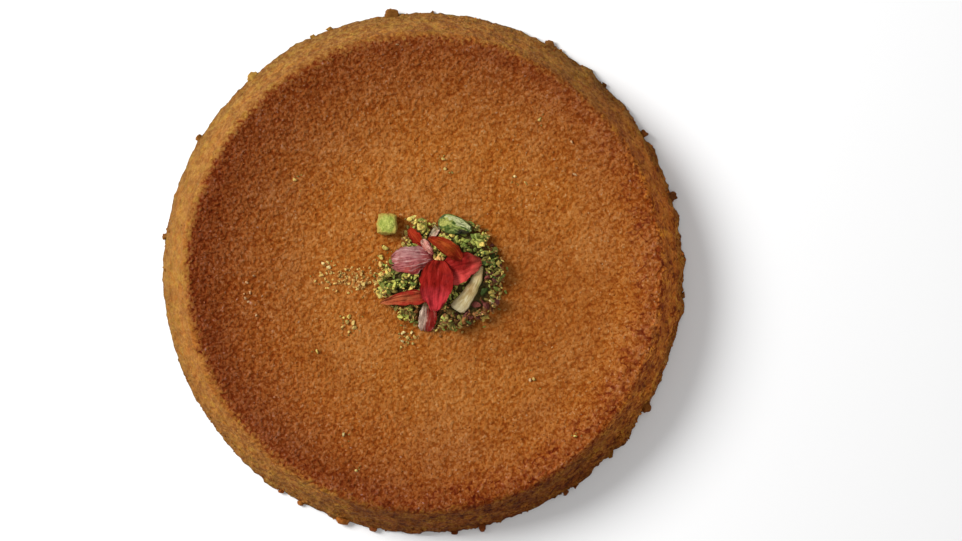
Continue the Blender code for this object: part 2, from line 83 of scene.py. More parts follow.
# The disc, as in the solids.
BASE_RADIUS = 120 * MM
RIM_RADIUS = 105 * MM
RIM_HEIGHT = 28 * MM
RIM_EDGE = 4 * MM
RIM_SLOPE = math.radians(17)
DISH_FLAT_RADIUS = 45 * MM
WALL_WAVE = 0.7 * MM
WAVES_ROUND = 3.1
FOOT_FRAY = 2.9 * MM
FRAYS_ROUND = 11
RAGGED_DEGREES = -35
RAGGED_SIDE = math.radians(RAGGED_DEGREES)
LEAST_RAGGED = 0.35

# The fine skin over it: triangles of one size, with grains pressed up from below. The grains' sizes
# are in mm, and their relief is in mm on the top, on the smooth side and on the ragged one.
SKIN_PITCH = 0.7 * MM
SKIN_JITTER = 0.2
PROFILE_STEP = 0.25 * MM
RIM_STEPS = 24
SKIN_SPLIT = 112 * MM
SKIN_SINK = 8 * MM
UNDERSIDE = 2.5 * MM
GRAIN = 1.6
FINE_GRAIN = 0.75
ROUGHNESS = 1.4
MEAN_GRAIN = 0.55
TOP_RELIEF = 0.55
WALL_RELIEF = 0.2
RAGGED_RELIEF = 0.5
UNEVEN = 0.35
WALL_LUMP = 0.5 * MM
WALL_LUMP_SIZE = 4.5 * MM
FINE_FRAY = 1.1 * MM
FINE_FRAYS_ROUND = 52
LEAST_FINE_FRAY = 0.6

# Where the top's colour gives way to the wall's, measured along the skin from the dish's edge.
EDGE_START = 3.6 * MM
EDGE_SPAN = 10 * MM
EDGE_LATE = 0.8 * MM
EDGE_LATE_SIDE = math.radians(105)

# Lumps of crust at the foot of the wall: (angle in degrees, size in mm, width as a share of it).
CRAGS = (
    (17, 5.4, 0.9), (32, 5.6, 0.8), (46, 2.6, 1.3), (61, 3.6, 1.3), (88, 1.8, 1.0), (97, 6.2, 1.15),
    (111, 2.8, 1.4), (115, 2.4, 1.2), (131, 4.6, 1.2), (149, 3.0, 1.3), (172, 2.8, 1.3), (237, 3.0, 1.2),
    (242, 2.8, 1.2), (252, 5.4, 1.2), (259, 3.2, 1.4), (277, 2.6, 1.3), (283, 5.0, 0.8), (303, 3.0, 1.3),
    (316, 3.0, 1.4), (329, 5.0, 1.1), (355, 3.0, 1.4),
)
CRAG_LEVEL = 0.34
CRAG_DEPTH = 0.95
CRAG_OUT = 0.10
CRAG_TILT = 0.35
CRAG_SHAPES = 10

# Painted shade on them towards some directions: (degrees, the cosine where it starts, tint).
CRAG_PAINTED_SHADE = ((15, 0.3, (0.42, 0.40, 0.55)), (130, 0.0, (0.93, 0.93, 1.05)), (265, 0.5, (0.80, 0.62, 0.80)))
CRAG_SHADE_FULL = 0.9

# Smaller ones: (how many, least and most size in mm, share on the smooth side, how fast they thin out).
# Then their three sides as shares of the size, and how high they lie: the large ones by shares of their
# size, the others spread in mm, and none above the last share of the rim's height.
MORE_CRAGS = ((26, 1.4, 2.5, 0.0, 1.5), (420, 0.8, 1.7, LEAST_RAGGED, 1.0))
MORE_SHAPES = 14
MORE_SIZES = ((0.75, 1.2),) * 3
LARGE_CRAG = 2 * MM
LARGE_LEVELS = (0.5, 1.3)
SMALL_LEVELS = 5
MOST_LEVEL = 0.85

# Broken pieces: how far from the middle of a ball its cuts lie, when its diameter is 1, the angle from
# which an edge is sharp, how low a point may lie, and how far each piece strays from its colour.
CUTS = (0.13, 0.35)
SHARP = math.radians(35)
LEAST_HEIGHT = 0.02 * MM
TINT_SPREAD = 0.16

# Loose grains of crust on the top, then pale ones, most on the left of the dish: (x, y, size) in mm.
CRUMB_COUNT = 1100
CRUMB_SIZES = (0.45 * MM, 1.0 * MM)
CRUMB_SINK = 0.12
PALE_SHARE = 0.02
NOT_DARK_SHARE = 0.5
PALE_CRUMBS = (
    (-79.5, -4.4, 1.9), (-80.8, -9.5, 1.7), (-80.1, -11.6, 1.8), (-79.0, -13.1, 1.4), (-78.0, -9.0, 1.6),
    (-76.5, -1.3, 1.8), (-75.5, -19.2, 1.5), (-11.4, 102.5, 1.9), (67.0, 59.0, 1.9), (68.6, 44.3, 1.9),
    (74.7, 27.0, 1.5), (48.4, -48.6, 2.2),
)

# The heap, as in the solids: its tongues are (direction and half width in degrees, reach in mm), its
# chunks (x, y, length and width in mm, turn in degrees, colour).
HEAP_CENTRE = Vector((8.0, -1.0)) * MM
HEAP_RADIUS = 21.5 * MM
HEAP_TONGUES = (
    (0, 34, 6.5), (52, 26, 5.5), (118, 16, 5.5), (190, 24, 7.0), (232, 16, 3.5), (276, 20, 3.0),
    (318, 26, 4.5),
)
HEAP_HEIGHT = 4.5 * MM
HEAP_SKIRT = 0.35 * MM
HEAP_CHUNKS = (
    (25.3, 14.4, 8.0, 6.0, -15, "leaf"), (11.4, 15.4, 5.8, 4.2, 5, "bright"),
    (17.3, 13.9, 6.4, 5.0, 30, "leaf"), (5.6, 20.4, 4.6, 4.2, 10, "pale"),
    (-4.5, 23.6, 5.4, 3.6, -35, "yellow"), (0.8, 21.4, 6.4, 5.4, 45, "bright"),
    (9.4, -21.6, 7.6, 4.8, 55, "olive"), (-7.1, -18.9, 7.4, 6.2, 15, "bright"),
    (27.0, -20.1, 5.8, 3.6, 80, "yellow"), (-17.2, -2.4, 5.0, 4.0, -60, "yellow"),
    (-14.9, -0.5, 4.0, 3.2, 20, "yellow"), (-9.9, -4.6, 6.0, 4.6, 20, "green"),
    (-15.0, -6.4, 5.8, 5.0, 60, "bright"), (-20.4, -8.6, 5.6, 4.6, 0, "yellow"),
    (-17.4, -7.4, 5.0, 4.2, 40, "bright"), (27.6, -8.3, 5.2, 4.6, 30, "dark"),
    (29.4, 0.5, 6.0, 5.0, 70, "olive"), (33.4, -3.6, 5.0, 4.2, 10, "olive"),
    (31.8, 2.6, 4.4, 3.4, 50, "olive"), (31.4, -12.4, 7.6, 3.8, 70, "pale"),
    (24.0, -14.2, 5.2, 4.4, 20, "skin"), (29.4, 5.8, 3.8, 3.0, -20, "olive"),
    (31.2, 12.4, 2.8, 2.0, 30, "skin"), (17.6, -20.0, 4.6, 3.8, 40, "olive"),
)
CHUNK_HEIGHT = 0.85
CLUSTER_BODY = 0.86
CLUSTER_PITCH = 2.6 * MM
CLUSTER_SIZES = (2.2 * MM, 4.0 * MM)
CLUSTER_COVER = 1.6
CLUSTER_SKIN = 0.47
BODY_SHAPES = 12
CRUMB_SHAPES = 24
OWN_COLOUR = 0.85
PLAIN = ("dark", "skin")
BARE_SHARE = 0.45

# The core between the chunks. Its grains and their relief are in mm, as the crust's are.
CORE_PITCH = 0.45 * MM
CORE_GRAIN = 2.1
CORE_FINE_GRAIN = 0.9
CORE_RELIEF = 1.5

# The grid of heights that crumbs are let down on. It reaches further to the left of the heap, as the
# spill lies there.
GRID_CENTRE = (HEAP_CENTRE.x - 6 * MM, HEAP_CENTRE.y)
GRID_HALF = 46 * MM
GRID_STEP = 0.5 * MM

# The heap's chips and dust, and the crumbs spilt beside it. A scatter is (how far in mm they spread
# past the heap's edge, how far inside it they begin).
CHIP_COUNT = 580
CHIP_SIZES = (2.0 * MM, 3.9 * MM)
EDGE_COUNT = 130
EDGE_SIZES = (0.8 * MM, 2.0 * MM)
EDGE_SCATTER = (1.8, 1.0)
DUST_COUNT = 800
DUST_SIZES = (0.7 * MM, 1.6 * MM)
DUST_SCATTER = (1.4, 1.2)
LOOSE_FROM = 0.93
CHIP_SINK = 0.25
CHIP_TILT = 0.35
CLEARANCE = 0.5 * MM
IN_SHADE = 0.75
SHADE_LEVEL = 1.0 * MM
LOOSE = ("olive", "olive", "tan", "tan", "brown", "green", "yellow")
SPILL_CENTRE = Vector((-31.0, -2.6)) * MM
SPILL_SPREAD = Vector((7.5, 3.5)) * MM
SPILL_COUNT = 150
SPILL_SIZES = (0.8 * MM, 1.9 * MM)
SPILL_SINK = 0.48
SPILT = ("peach", "crumb", "tan", "straw", "crumb")

# The pale crumb of several grains between the petals: (x, y, size, in mm, colour).
MIDDLE_CRUMB = (
    (7.4, 6.3, 3.6, (0.62, 0.36, 0.12)),
    (6.0, 5.9, 2.2, (0.66, 0.44, 0.15)),
    (8.9, 6.0, 2.4, (0.50, 0.32, 0.10)),
    (7.6, 7.7, 2.0, (0.64, 0.42, 0.13)),
)
MIDDLE_RISE = 2.6 * MM

# Single crumbs of nut that fell away from the heap: (x, y, size) in mm, with a few specks round each.
FALLEN = ("pale", "yellow", "straw", "straw")
FALLEN_CRUMBS = (
    (9.0, 51.5, 2.6), (10.0, 47.0, 2.0), (-58.0, 42.0, 2.2), (-33.4, -19.8, 2.6), (-34.2, -22.4, 2.8),
    (-31.6, -22.6, 2.2), (-31.0, -25.0, 2.6), (-36.4, -24.4, 2.0), (-33.6, -26.8, 1.8), (-35.8, -20.4, 1.8),
    (-48.0, -35.6, 2.4), (-9.0, -27.2, 2.8), (-7.0, -29.4, 2.2), (-3.8, -29.2, 2.4), (-5.2, -27.0, 1.8),
    (-9.4, -31.0, 2.2), (-9.8, -33.6, 1.8), (-4.6, -32.0, 1.6), (-17.1, 11.2, 3.2), (-19.0, 7.0, 2.8),
    (-19.2, 3.8, 3.4), (-17.6, 1.2, 2.8), (41.6, 43.6, 1.8), (46.2, 40.8, 1.6), (52.4, 69.0, 2.0),
    (-36.0, -73.0, 2.2), (-30.0, -89.0, 2.0), (68.4, -73.4, 2.4), (50.0, -48.0, 2.0), (-45.2, 4.2, 2.4),
    (-42.7, 2.4, 2.4), (-27.0, -5.2, 3.0), (-46.1, -1.1, 2.6),
)
SPECKS = 3
SPECK_SPREAD = 2.2
SPECK_SIZES = (0.6, 1.1)
FALLEN_RISE = 0.25

# Petals: base and tip in plan, then the half width, the bow to the left, the arch, how far the sides
# and the tip turn up, all in mm, how far along its length each is widest, and how blunt its ends are:
# near 1 it narrows evenly, near 0 it is wide to the end. One is slimmer on the right towards its tip.
Petal = namedtuple("Petal", "base tip half bow arch cup lift wide blunt slim", defaults=(0.0,))
PETALS = {
    "petal_pale_low": Petal((2.6, -11.6), (1.2, -26.8), 4.1, 0.4, 1.0, 2.0, 0.2, 0.6, 0.45),
    "petal_red_long": Petal((3.2, -10.6), (-19.4, -13.8), 3.4, -0.8, 1.6, 1.5, 0.4, 0.34, 0.8),
    "petal_red_right": Petal((6.0, -0.8), (26.6, 5.0), 7.4, -0.4, 1.4, 1.2, 1.4, 0.52, 0.8, 0.3),
    "petal_purple": Petal((4.6, 6.6), (-14.6, 4.6), 6.3, -0.2, 2.2, -1.2, 0.2, 0.52, 0.5),
    "petal_lilac": Petal((3.0, 14.8), (7.2, 20.6), 1.6, 0.2, 0.6, 0.6, 0.8, 0.6, 0.7),
    "petal_red_upper": Petal((17.4, 6.2), (2.2, 15.8), 3.5, -1.0, 1.6, 1.6, 0.8, 0.42, 0.75),
    "petal_red_tip": Petal((1.2, 11.2), (-6.4, 20.0), 2.6, 0.4, 1.2, 0.9, 1.2, 0.62, 0.8),
    "petal_red_middle": Petal((7.0, 5.6), (5.4, -17.4), 7.7, -0.4, 1.6, 1.8, 0.2, 0.42, 0.75),
    "petal_pink": Petal((4.6, 8.2), (-0.4, 15.0), 1.9, 0.3, 0.4, 0.6, 0.8, 0.6, 0.7),
}
PETAL_STEPS = (44, 26)
PETAL_THICKNESS = 0.4 * MM
PETAL_RIPPLE = 0.7 * MM
PETAL_NICK = 0.16
PETAL_EDGE = 0.35
CREASE = 0.5 * MM
CREASES_ACROSS = 5
CRUMPLE = 1.0 * MM
CRUMPLE_SIZE = 3.4 * MM
VEIN_RIDGE = 0.07 * MM
RAGGED_TIP = 0.2
TORN_EDGE = 0.13

# Each petal's colours: its left edge as seen from its base, its middle and right edge, then its root,
# its end, its veins and its pale streaks, which are partly a painted sheen, then how much the streaks and
# the veins show. The end's colour starts where turns says, bands says where the three across it lie, and
# blotches how dark its spots are.
PetalLook = namedtuple(
    "PetalLook", "left middle right root end vein pale streaks veins turns bands blotches",
    defaults=(0.62, (0.1, 0.5, 0.9), 0.6),
)
PETAL_COLOURS = {
    "petal_pale_low": PetalLook(
        (0.15, 0.007, 0.005), (0.21, 0.024, 0.016), (0.76, 0.56, 0.42), (0.40, 0.27, 0.08),
        (0.19, 0.020, 0.013), (0.15, 0.016, 0.010), (0.66, 0.50, 0.38), 0.12, 0.3,
        turns=0.82, bands=(0.28, 0.50, 0.75),
    ),
    "petal_red_long": PetalLook(
        (0.26, 0.026, 0.012), (0.31, 0.078, 0.027), (0.25, 0.014, 0.008), (0.30, 0.014, 0.009),
        (0.40, 0.115, 0.042), (0.16, 0.006, 0.004), (0.46, 0.15, 0.06), 0.5, 0.5,
    ),
    # Its right edge, seen from its base, is lighter partly as painted light where the middle petal shades it.
    "petal_red_right": PetalLook(
        (0.22, 0.009, 0.006), (0.28, 0.015, 0.012), (0.64, 0.070, 0.060), (0.15, 0.005, 0.004),
        (0.30, 0.046, 0.030), (0.13, 0.003, 0.002), (0.36, 0.046, 0.036), 0.35, 0.45,
    ),
    "petal_purple": PetalLook(
        (0.28, 0.044, 0.034), (0.34, 0.125, 0.118), (0.29, 0.145, 0.135), (0.18, 0.010, 0.008),
        (0.28, 0.085, 0.076), (0.12, 0.012, 0.022), (0.52, 0.34, 0.31), 0.6, 0.7, blotches=0.9,
    ),
    "petal_lilac": PetalLook(
        (0.58, 0.46, 0.29), (0.56, 0.42, 0.27), (0.46, 0.28, 0.21), (0.34, 0.08, 0.07),
        (0.62, 0.49, 0.32), (0.32, 0.16, 0.13), (0.68, 0.57, 0.43), 0.6, 0.4,
    ),
    "petal_red_upper": PetalLook(
        (0.25, 0.030, 0.007), (0.27, 0.043, 0.006), (0.21, 0.020, 0.004), (0.17, 0.009, 0.004),
        (0.26, 0.019, 0.006), (0.15, 0.008, 0.003), (0.34, 0.085, 0.014), 0.5, 0.5,
    ),
    "petal_red_tip": PetalLook(
        (0.22, 0.012, 0.005), (0.28, 0.023, 0.006), (0.25, 0.014, 0.005), (0.18, 0.007, 0.004),
        (0.28, 0.026, 0.007), (0.15, 0.005, 0.003), (0.34, 0.055, 0.015), 0.4, 0.4,
    ),
    "petal_red_middle": PetalLook(
        (0.20, 0.008, 0.006), (0.21, 0.008, 0.005), (0.30, 0.014, 0.009), (0.23, 0.012, 0.006),
        (0.46, 0.032, 0.038), (0.13, 0.003, 0.002), (0.34, 0.034, 0.028), 0.35, 0.35, turns=0.46,
    ),
    "petal_pink": PetalLook(
        (0.40, 0.12, 0.09), (0.58, 0.28, 0.21), (0.44, 0.15, 0.12), (0.30, 0.05, 0.04),
        (0.60, 0.34, 0.25), (0.30, 0.05, 0.05), (0.70, 0.46, 0.37), 0.7, 0.5,
    ),
}
PETAL_BLOTCH = (0.66, 0.58, 0.58)

# Nut pieces as large as a berry, each on its own, and their colours.
CHUNK_PLACE = Vector((-16.2, 22.0)) * MM
CHUNK_SIZE = Vector((9.0, 9.3, 6.4)) * MM
CHUNK_TURN = math.radians(-3)
CHUNK_FOOT = 0.46
CHUNK_TONES = ((0.33, (0.19, 0.235, 0.033)), (0.48, (0.31, 0.34, 0.056)), (0.62, (0.43, 0.44, 0.098)))
CHUNK_SPOT = (0.17, 0.22, 0.030)
CHUNK_EDGE = (0.36, 0.25, 0.052)
SLICE_PLACE = Vector((14.6, 21.4)) * MM
SLICE_SIZE = Vector((15.6, 8.4, 5.7)) * MM
SLICE_TURN = math.radians(-15)
SLICE_TILT = math.radians(8)
SLICE_CUT = 0.185
SLICE_TAPER = 0.55
SLICE_TONES = ((0.36, (0.06, 0.10, 0.018)), (0.50, (0.19, 0.24, 0.045)), (0.62, (0.33, 0.36, 0.10)))
SLICE_LEFT = (0.44, 0.42, 0.095)
SLICE_HOLLOW = (0.16, 0.30, 0.14)
# Painted shade along the slice's lower edge, its far edge pale and partly a painted highlight, and a painted
# shadow.
SLICE_UNDER_SHADE = (0.18, 0.26, 0.11)
SLICE_PALE_EDGE_AND_HIGHLIGHT = (0.45, 0.46, 0.23)
SLICE_SHADOW = (0.14, 0.09, 0.07)
SLICE_SKIN = ((0.35, (0.03, 0.05, 0.010)), (0.65, (0.16, 0.20, 0.04)))
SLIVER_ENDS = ((15.0, -17.0), (26.8, 2.9))
SLIVER_STEPS = (90, 36)
SLIVER_WIDTH = 7.8 * MM
SLIVER_THICKNESS = 1.8 * MM
SLIVER_TAPER = 0.55
SLIVER_TIP = 0.31
SLIVER_BLUNTNESS = 0.3
SLIVER_BOW = 1.1 * MM
SLIVER_ARCH = 0.9 * MM
SLIVER_NIBBLE = 0.10
SLIVER_GROOVE = 0.09 * MM
SLIVER_TONES = ((0.35, (0.39, 0.26, 0.10)), (0.5, (0.55, 0.42, 0.19)), (0.65, (0.70, 0.60, 0.36)))
SLIVER_BLUNT_END = (0.62, 0.55, 0.35)
SLIVER_RIGHT = (0.42, 0.38, 0.13)
SLIVER_LEFT = (0.36, 0.25, 0.12)
SLIVER_TANNED = (0.84, 0.75, 0.68)
# The far end's colour is lighter partly as painted light, where the petal over it shades it.
SLIVER_FAR_END = (0.72, 0.51, 0.24)

# Colours of nut: the kernel, its green skin, its purple one, crumbs of crust among them, and the core, dark
# partly as painted shade in the gaps between the chips.
NUTS = {
    "pale": (0.62, 0.48, 0.20),
    "yellow": (0.59, 0.45, 0.105),
    "bright": (0.43, 0.44, 0.086),
    "leaf": (0.33, 0.35, 0.070),
    "green": (0.19, 0.23, 0.040),
    "olive": (0.25, 0.20, 0.045),
    "tan": (0.47, 0.28, 0.075),
    "straw": (0.54, 0.38, 0.11),
    "peach": (0.47, 0.26, 0.080),
    "crumb": (0.38, 0.19, 0.045),
    "brown": (0.20, 0.085, 0.024),
    "dark": (0.045, 0.068, 0.012),
    "skin": (0.145, 0.037, 0.027),
}
CORE_NUT_AND_SHADE = (0.075, 0.052, 0.011)
NUT_LIGHT = (1.45, 1.35, 1.5)
NUT_DARK = (0.42, 0.46, 0.35)

# Where the heap's crumbs have which colours: (least x, most x, least y, most y, in mm, colours), the
# first that holds the spot, each colour as likely as it is often named.
HEAP_REGIONS = (
    (14, 60, -60, -12, ("skin", "skin", "brown", "brown", "brown", "brown", "olive", "dark")),
    (21, 60, -60, 9, ("skin", "dark", "olive", "olive", "olive", "green", "brown", "bright")),
    (12, 60, 9, 60, ("olive", "bright", "leaf", "leaf", "green", "green", "yellow")),
    (-60, 60, 8, 60, ("yellow", "yellow", "bright", "bright", "yellow", "olive", "yellow")),
    (-60, 60, -60, -14, ("olive", "brown", "olive", "tan", "brown", "leaf", "olive", "brown")),
    (-60, 60, -60, 60, ("yellow", "yellow", "bright", "bright", "yellow", "olive", "green")),
)

# Colours of crust on the top, from its pale grains to the pits between them; the pits' tint is partly painted
# shade.
PALE_CRUST = (0.50, 0.30, 0.14)
LIGHT_CRUST = (0.432, 0.191, 0.058)
CRUST = (0.345, 0.115, 0.0178)
DARK_CRUST = (0.236, 0.058, 0.0055)
PIT = (0.73, 0.53, 0.22)
ROLLING = (0.88, 0.83, 0.76)
CRUMB_DARK = (0.62, 0.5, 0.45)

# The top is browner the further it is from this spot, in mm, and so most of all on the left. It has
# pale specks and dark flecks there.
BROWN_CENTRE = (14.0, 0.0, 0.0)
BROWN_RANGE = (58.0, 119.0)
BROWNED = (0.51, 0.345, 0.45)
RIM_SPECK = (1.10, 1.38, 2.7)
RIM_FLECK = (0.86, 0.67, 0.38)

# Painted shadow of the heap on the top beside it, in mm: darkest near this spot, fading out over the range.
HEAP_SHADOW_CENTRE = (49.0, -13.0, 0.0)
HEAP_SHADOW_RANGE = (16.0, 44.0)
HEAP_SHADOW_TINT = (0.87, 0.80, 0.72)

# Between these radii in mm the crust is darker and redder in some patches and paler in others.
RIM_PATCHES = (90.0, 101.0, 108.0, 113.0)
RED_PATCH = (0.72, 0.49, 0.46)
PALE_PATCH = (1.14, 1.16, 1.42)

# Broad tints of the dish, and painted light where the rounded rim turns from the lamp: (direction in degrees,
# the cosine where it starts, tint, the radii in mm where it starts, is full, begins to fade and ends).
DISH_TINTS = (
    (327, 0.35, (1.17, 1.22, 1.14), (82.0, 92.0, 98.0, 104.0)),
    (62, 0.94, (0.86, 0.78, 0.80), (98.0, 101.0, 104.0, 107.0)),
    (125, 0.88, (1.10, 1.20, 1.24), (95.0, 100.0, 104.0, 107.0)),
    (215, 0.45, (1.12, 1.13, 1.12), (60.0, 74.0, 86.0, 98.0)),
    (200, 0.20, (1.08, 1.08, 1.08), (99.0, 103.0, 106.0, 109.0)),
)
RIM_PAINTED_LIGHT = (
    (338, 0.50, (1.60, 1.66, 1.60), (103.5, 106.5, 107.0, 110.5)),
    (262, 0.60, (1.14, 1.20, 1.22), (103.5, 106.0, 108.0, 111.0)),
)

# Fine cracks through the crust on the ragged side. They come in between these radii in mm.
CRACK = (0.56, 0.34, 0.30)
CRACK_START = (90.0, 99.0)

# Colours of the wall: four tones from dark to light, the one that evens them out on the smooth side,
# what lies over them, and painted light and shade towards some directions: (degrees, the cosine where it
# starts, tint).
WALL_TONES = ((0.195, 0.062, 0.0105), (0.26, 0.098, 0.0145), (0.335, 0.137, 0.027), (0.375, 0.178, 0.0245))
WALL_STOPS = (0.36, 0.45, 0.55, 0.64)
WALL_MEAN = (0.300, 0.122, 0.0205)
WALL_ORANGE = (1.02, 0.90, 0.78)
WALL_OLIVE = (0.97, 1.07, 0.90)
WALL_MOTTLE = (0.64, 0.50, 0.42)
WALL_SPECK = (1.25, 1.44, 1.76)
WALL_PIT = (0.52, 0.40, 0.34)
WALL_COARSENESS = (0.5, 1.0)
UPRIGHT = (1.0, 1.0, 0.55)
WALL_PAINTED_LIGHT_AND_SHADE = ((287, 0.70, (0.74, 0.60, 0.48)), (0, 0.60, (1.60, 1.28, 1.12)), (140, 0.30, (0.86, 0.94, 1.06)))
WALL_PAINTED_FULL = 0.98

# Tints of the wall by height: the heights in mm between which each comes or goes, then the tint.
UPPER_WALL = (13.0, 22.0)
WALL_TOP = (0.98, 0.93, 0.99)
RAGGED_TOP = (0.90, 0.90, 0.80)
FOOT_HEIGHTS = (3.0, 15.0)
FOOT = (0.84, 0.88, 0.95)
FOOT_EDGE_HEIGHTS = (0.4, 2.4)
FOOT_EDGE = (0.50, 0.54, 0.54)
# Painted shade on the foot of the wall on the side away from the lamp: its direction, heights and tint.
FOOT_SHADE_SIDE = 5
FOOT_SHADE_HEIGHTS = (3.0, 11.0)
FOOT_PAINTED_SHADE = (0.70, 0.84, 0.92)


# Node trees


class Wire:
    """An output of a node. What is worked out from it, such as a sum or a mixed colour, adds nodes."""

    def __init__(self, graph, output):
        self.graph, self.output = graph, output

    def __add__(self, other):
        return self.graph.math("ADD", self, other)

    def __sub__(self, other):
        return self.graph.math("SUBTRACT", self, other)

    def __rsub__(self, other):
        return self.graph.math("SUBTRACT", other, self)

    def __mul__(self, other):
        return self.graph.math("MULTIPLY", self, other)

    def __abs__(self):
        return self.graph.math("ABSOLUTE", self)

    def parts(self):
        made = self.graph.add("ShaderNodeSeparateXYZ", {0: self})
        return [Wire(self.graph, output) for output in made.outputs]

    def fit(self, low, high, to_low=0.0, to_high=1.0, shape="SMOOTHSTEP"):
        """The value from low to high made to run from to_low to to_high, and held past both."""
        inputs = {"Value": self, "From Min": low, "From Max": high, "To Min": to_low, "To Max": to_high}
        return self.graph.wire("ShaderNodeMapRange", 0, inputs, interpolation_type=shape)

    def fade(self, low, high, full=1.0):
        return self.fit(low, high, full, 0.0)

    def mix(self, colour, share, blend="MIX"):
        """This colour with a share of the other one."""
        made = self.graph.add("ShaderNodeMix", {0: share}, data_type="RGBA", blend_type=blend)
        self.graph.put(self, made.inputs[6])
        self.graph.put((*colour, 1) if isinstance(colour, tuple) else colour, made.inputs[7])
        return Wire(self.graph, made.outputs[2])

    def tint(self, tint, share):
        """This colour multiplied by the tint, as far as the share says."""
        return self.mix(tint, share, "MULTIPLY")

    def ramp(self, *stops):
        made = self.graph.add("ShaderNodeValToRGB", {0: self})
        band = made.color_ramp
        while len(band.elements) < len(stops):
            band.elements.new(0.5)
        for element, (position, colour) in zip(band.elements, stops):
            element.position = position
            element.color = (*colour, 1)
        return Wire(self.graph, made.outputs[0])


class Graph:
    """Adds nodes to a tree. An input is given as a value, or as the wire that feeds it."""

    def __init__(self, tree):
        self.tree = tree

    def put(self, value, socket):
        if isinstance(value, Wire):
            self.tree.links.new(value.output, socket)
        else:
            socket.default_value = value

    def add(self, kind, inputs=(), **settings):
        made = self.tree.nodes.new(kind)
        for name, value in settings.items():
            setattr(made, name, value)
        for socket, value in dict(inputs).items():
            self.put(value, made.inputs[socket])
        return made

    def wire(self, kind, output, inputs=(), **settings):
        """One output of a new node."""
        return Wire(self, self.add(kind, inputs, **settings).outputs[output])

    def math(self, operation, *values):
        return self.wire("ShaderNodeMath", 0, enumerate(values), operation=operation)

    def vector(self, operation, *values):
        output = 1 if operation in ("LENGTH", "DOT_PRODUCT") else 0
        return self.wire("ShaderNodeVectorMath", output, enumerate(values), operation=operation)

    def reach(self, place, centre):
        """How far the place is from the centre in plan."""
        return self.vector("LENGTH", self.vector("MULTIPLY", self.vector("SUBTRACT", place, centre), FLAT))

    def turned(self, outward, degrees):
        """How far the surface lies towards a direction: 1 straight that way, 0 square to it."""
        direction = (math.cos(math.radians(degrees)), math.sin(math.radians(degrees)), 0.0)
        return self.vector("DOT_PRODUCT", outward, direction)

    def attribute(self, name, output="Vector"):
        return self.wire("ShaderNodeAttribute", output, attribute_name=name)

    def noise(self, place, scale, detail=2.0, roughness=0.5, output=0):
        inputs = {"Vector": place, "Scale": scale, "Detail": detail, "Roughness": roughness}
        return self.wire("ShaderNodeTexNoise", output, inputs)

    def streaks(self, along, across, seed=0.0, detail=3.0, roughness=0.6):
        """Noise drawn out along the piece, as both grow by one for each streak."""
        place = self.wire("ShaderNodeCombineXYZ", 0, {0: along, 1: across, 2: seed})
        return self.noise(place, 1.0, detail, roughness)

    def cells(self, place, size):
        """(how high a dome on each cell stands, the cell's three random numbers)."""
        made = self.add("ShaderNodeTexVoronoi", {"Vector": place, "Scale": 1 / size, "Randomness": 1.0})
        square = self.math("POWER", Wire(self, made.outputs["Distance"]), 2.0)
        return 1.0 - square * 1.5, Wire(self, made.outputs["Color"]).parts()


def grains(graph, place, size, fine_size):
    """(height, MEAN_GRAIN on average, random numbers of the large grain, and of the fine one)."""
    wobble = graph.noise(place, 0.55, detail=1.0, output="Color")
    place = graph.vector("MULTIPLY_ADD", wobble, (1.2, 1.2, 1.2), place)
    dome, lots = graph.cells(place, size)
    fine_dome, fine_lots = graph.cells(place, fine_size)
    height = fine_dome * 0.2 + dome * lots[0].fit(0.0, 1.0, 0.2, 0.55, "LINEAR")
    height = height + (graph.noise(place, 0.8, roughness=0.55) * ROUGHNESS + (0.15 - ROUGHNESS / 2))
    return height, lots, fine_lots


def new_material(name, roughness, specular):
    """(material, graph, each point's place in mm)."""
    material = bpy.data.materials.new(name)
    material.use_nodes = True
    shader = material.node_tree.nodes["Principled BSDF"]
    shader.inputs["Roughness"].default_value = roughness
    shader.inputs["Specular IOR Level"].default_value = specular
    graph = Graph(material.node_tree)
    return material, graph, graph.attribute("rest")


def finish_material(graph, colour, height, distance, strength):
    """Gives the shader its colour, and the relief that is too fine for the mesh."""
    shader = graph.tree.nodes["Principled BSDF"]
    graph.put(colour, shader.inputs["Base Color"])
    inputs = {"Height": height, "Distance": distance, "Strength": strength}
    graph.put(graph.wire("ShaderNodeBump", 0, inputs), shader.inputs["Normal"])


# The disc's profile and its fine skin


def draws(what):
    """The random draws for one kind of thing, always the same."""
    return np.random.default_rng(SEEDS[what])


def between(value, low, high):
    """From 0 at low to 1 at high, smooth at both ends."""
    share = np.clip((value - low) / (high - low), 0, 1)
    return share * share * (3 - 2 * share)


def wall_lean():
    run = BASE_RADIUS - RIM_RADIUS
    rise = RIM_HEIGHT - RIM_EDGE
    return math.atan2(run, rise) - math.asin(RIM_EDGE / math.hypot(run, rise))


def dish_edge():
    radius = RIM_RADIUS - RIM_EDGE * math.sin(RIM_SLOPE)
    height = RIM_HEIGHT - RIM_EDGE + RIM_EDGE * math.cos(RIM_SLOPE)
    return radius, height


def dish_height(radius):
    edge_radius, edge_height = dish_edge()
    bend = math.tan(RIM_SLOPE) / (2 * (edge_radius - DISH_FLAT_RADIUS))
    floor = edge_height - bend * (edge_radius - DISH_FLAT_RADIUS) ** 2
    return floor + bend * max(0.0, radius - DISH_FLAT_RADIUS) ** 2


FLOOR = dish_height(0)


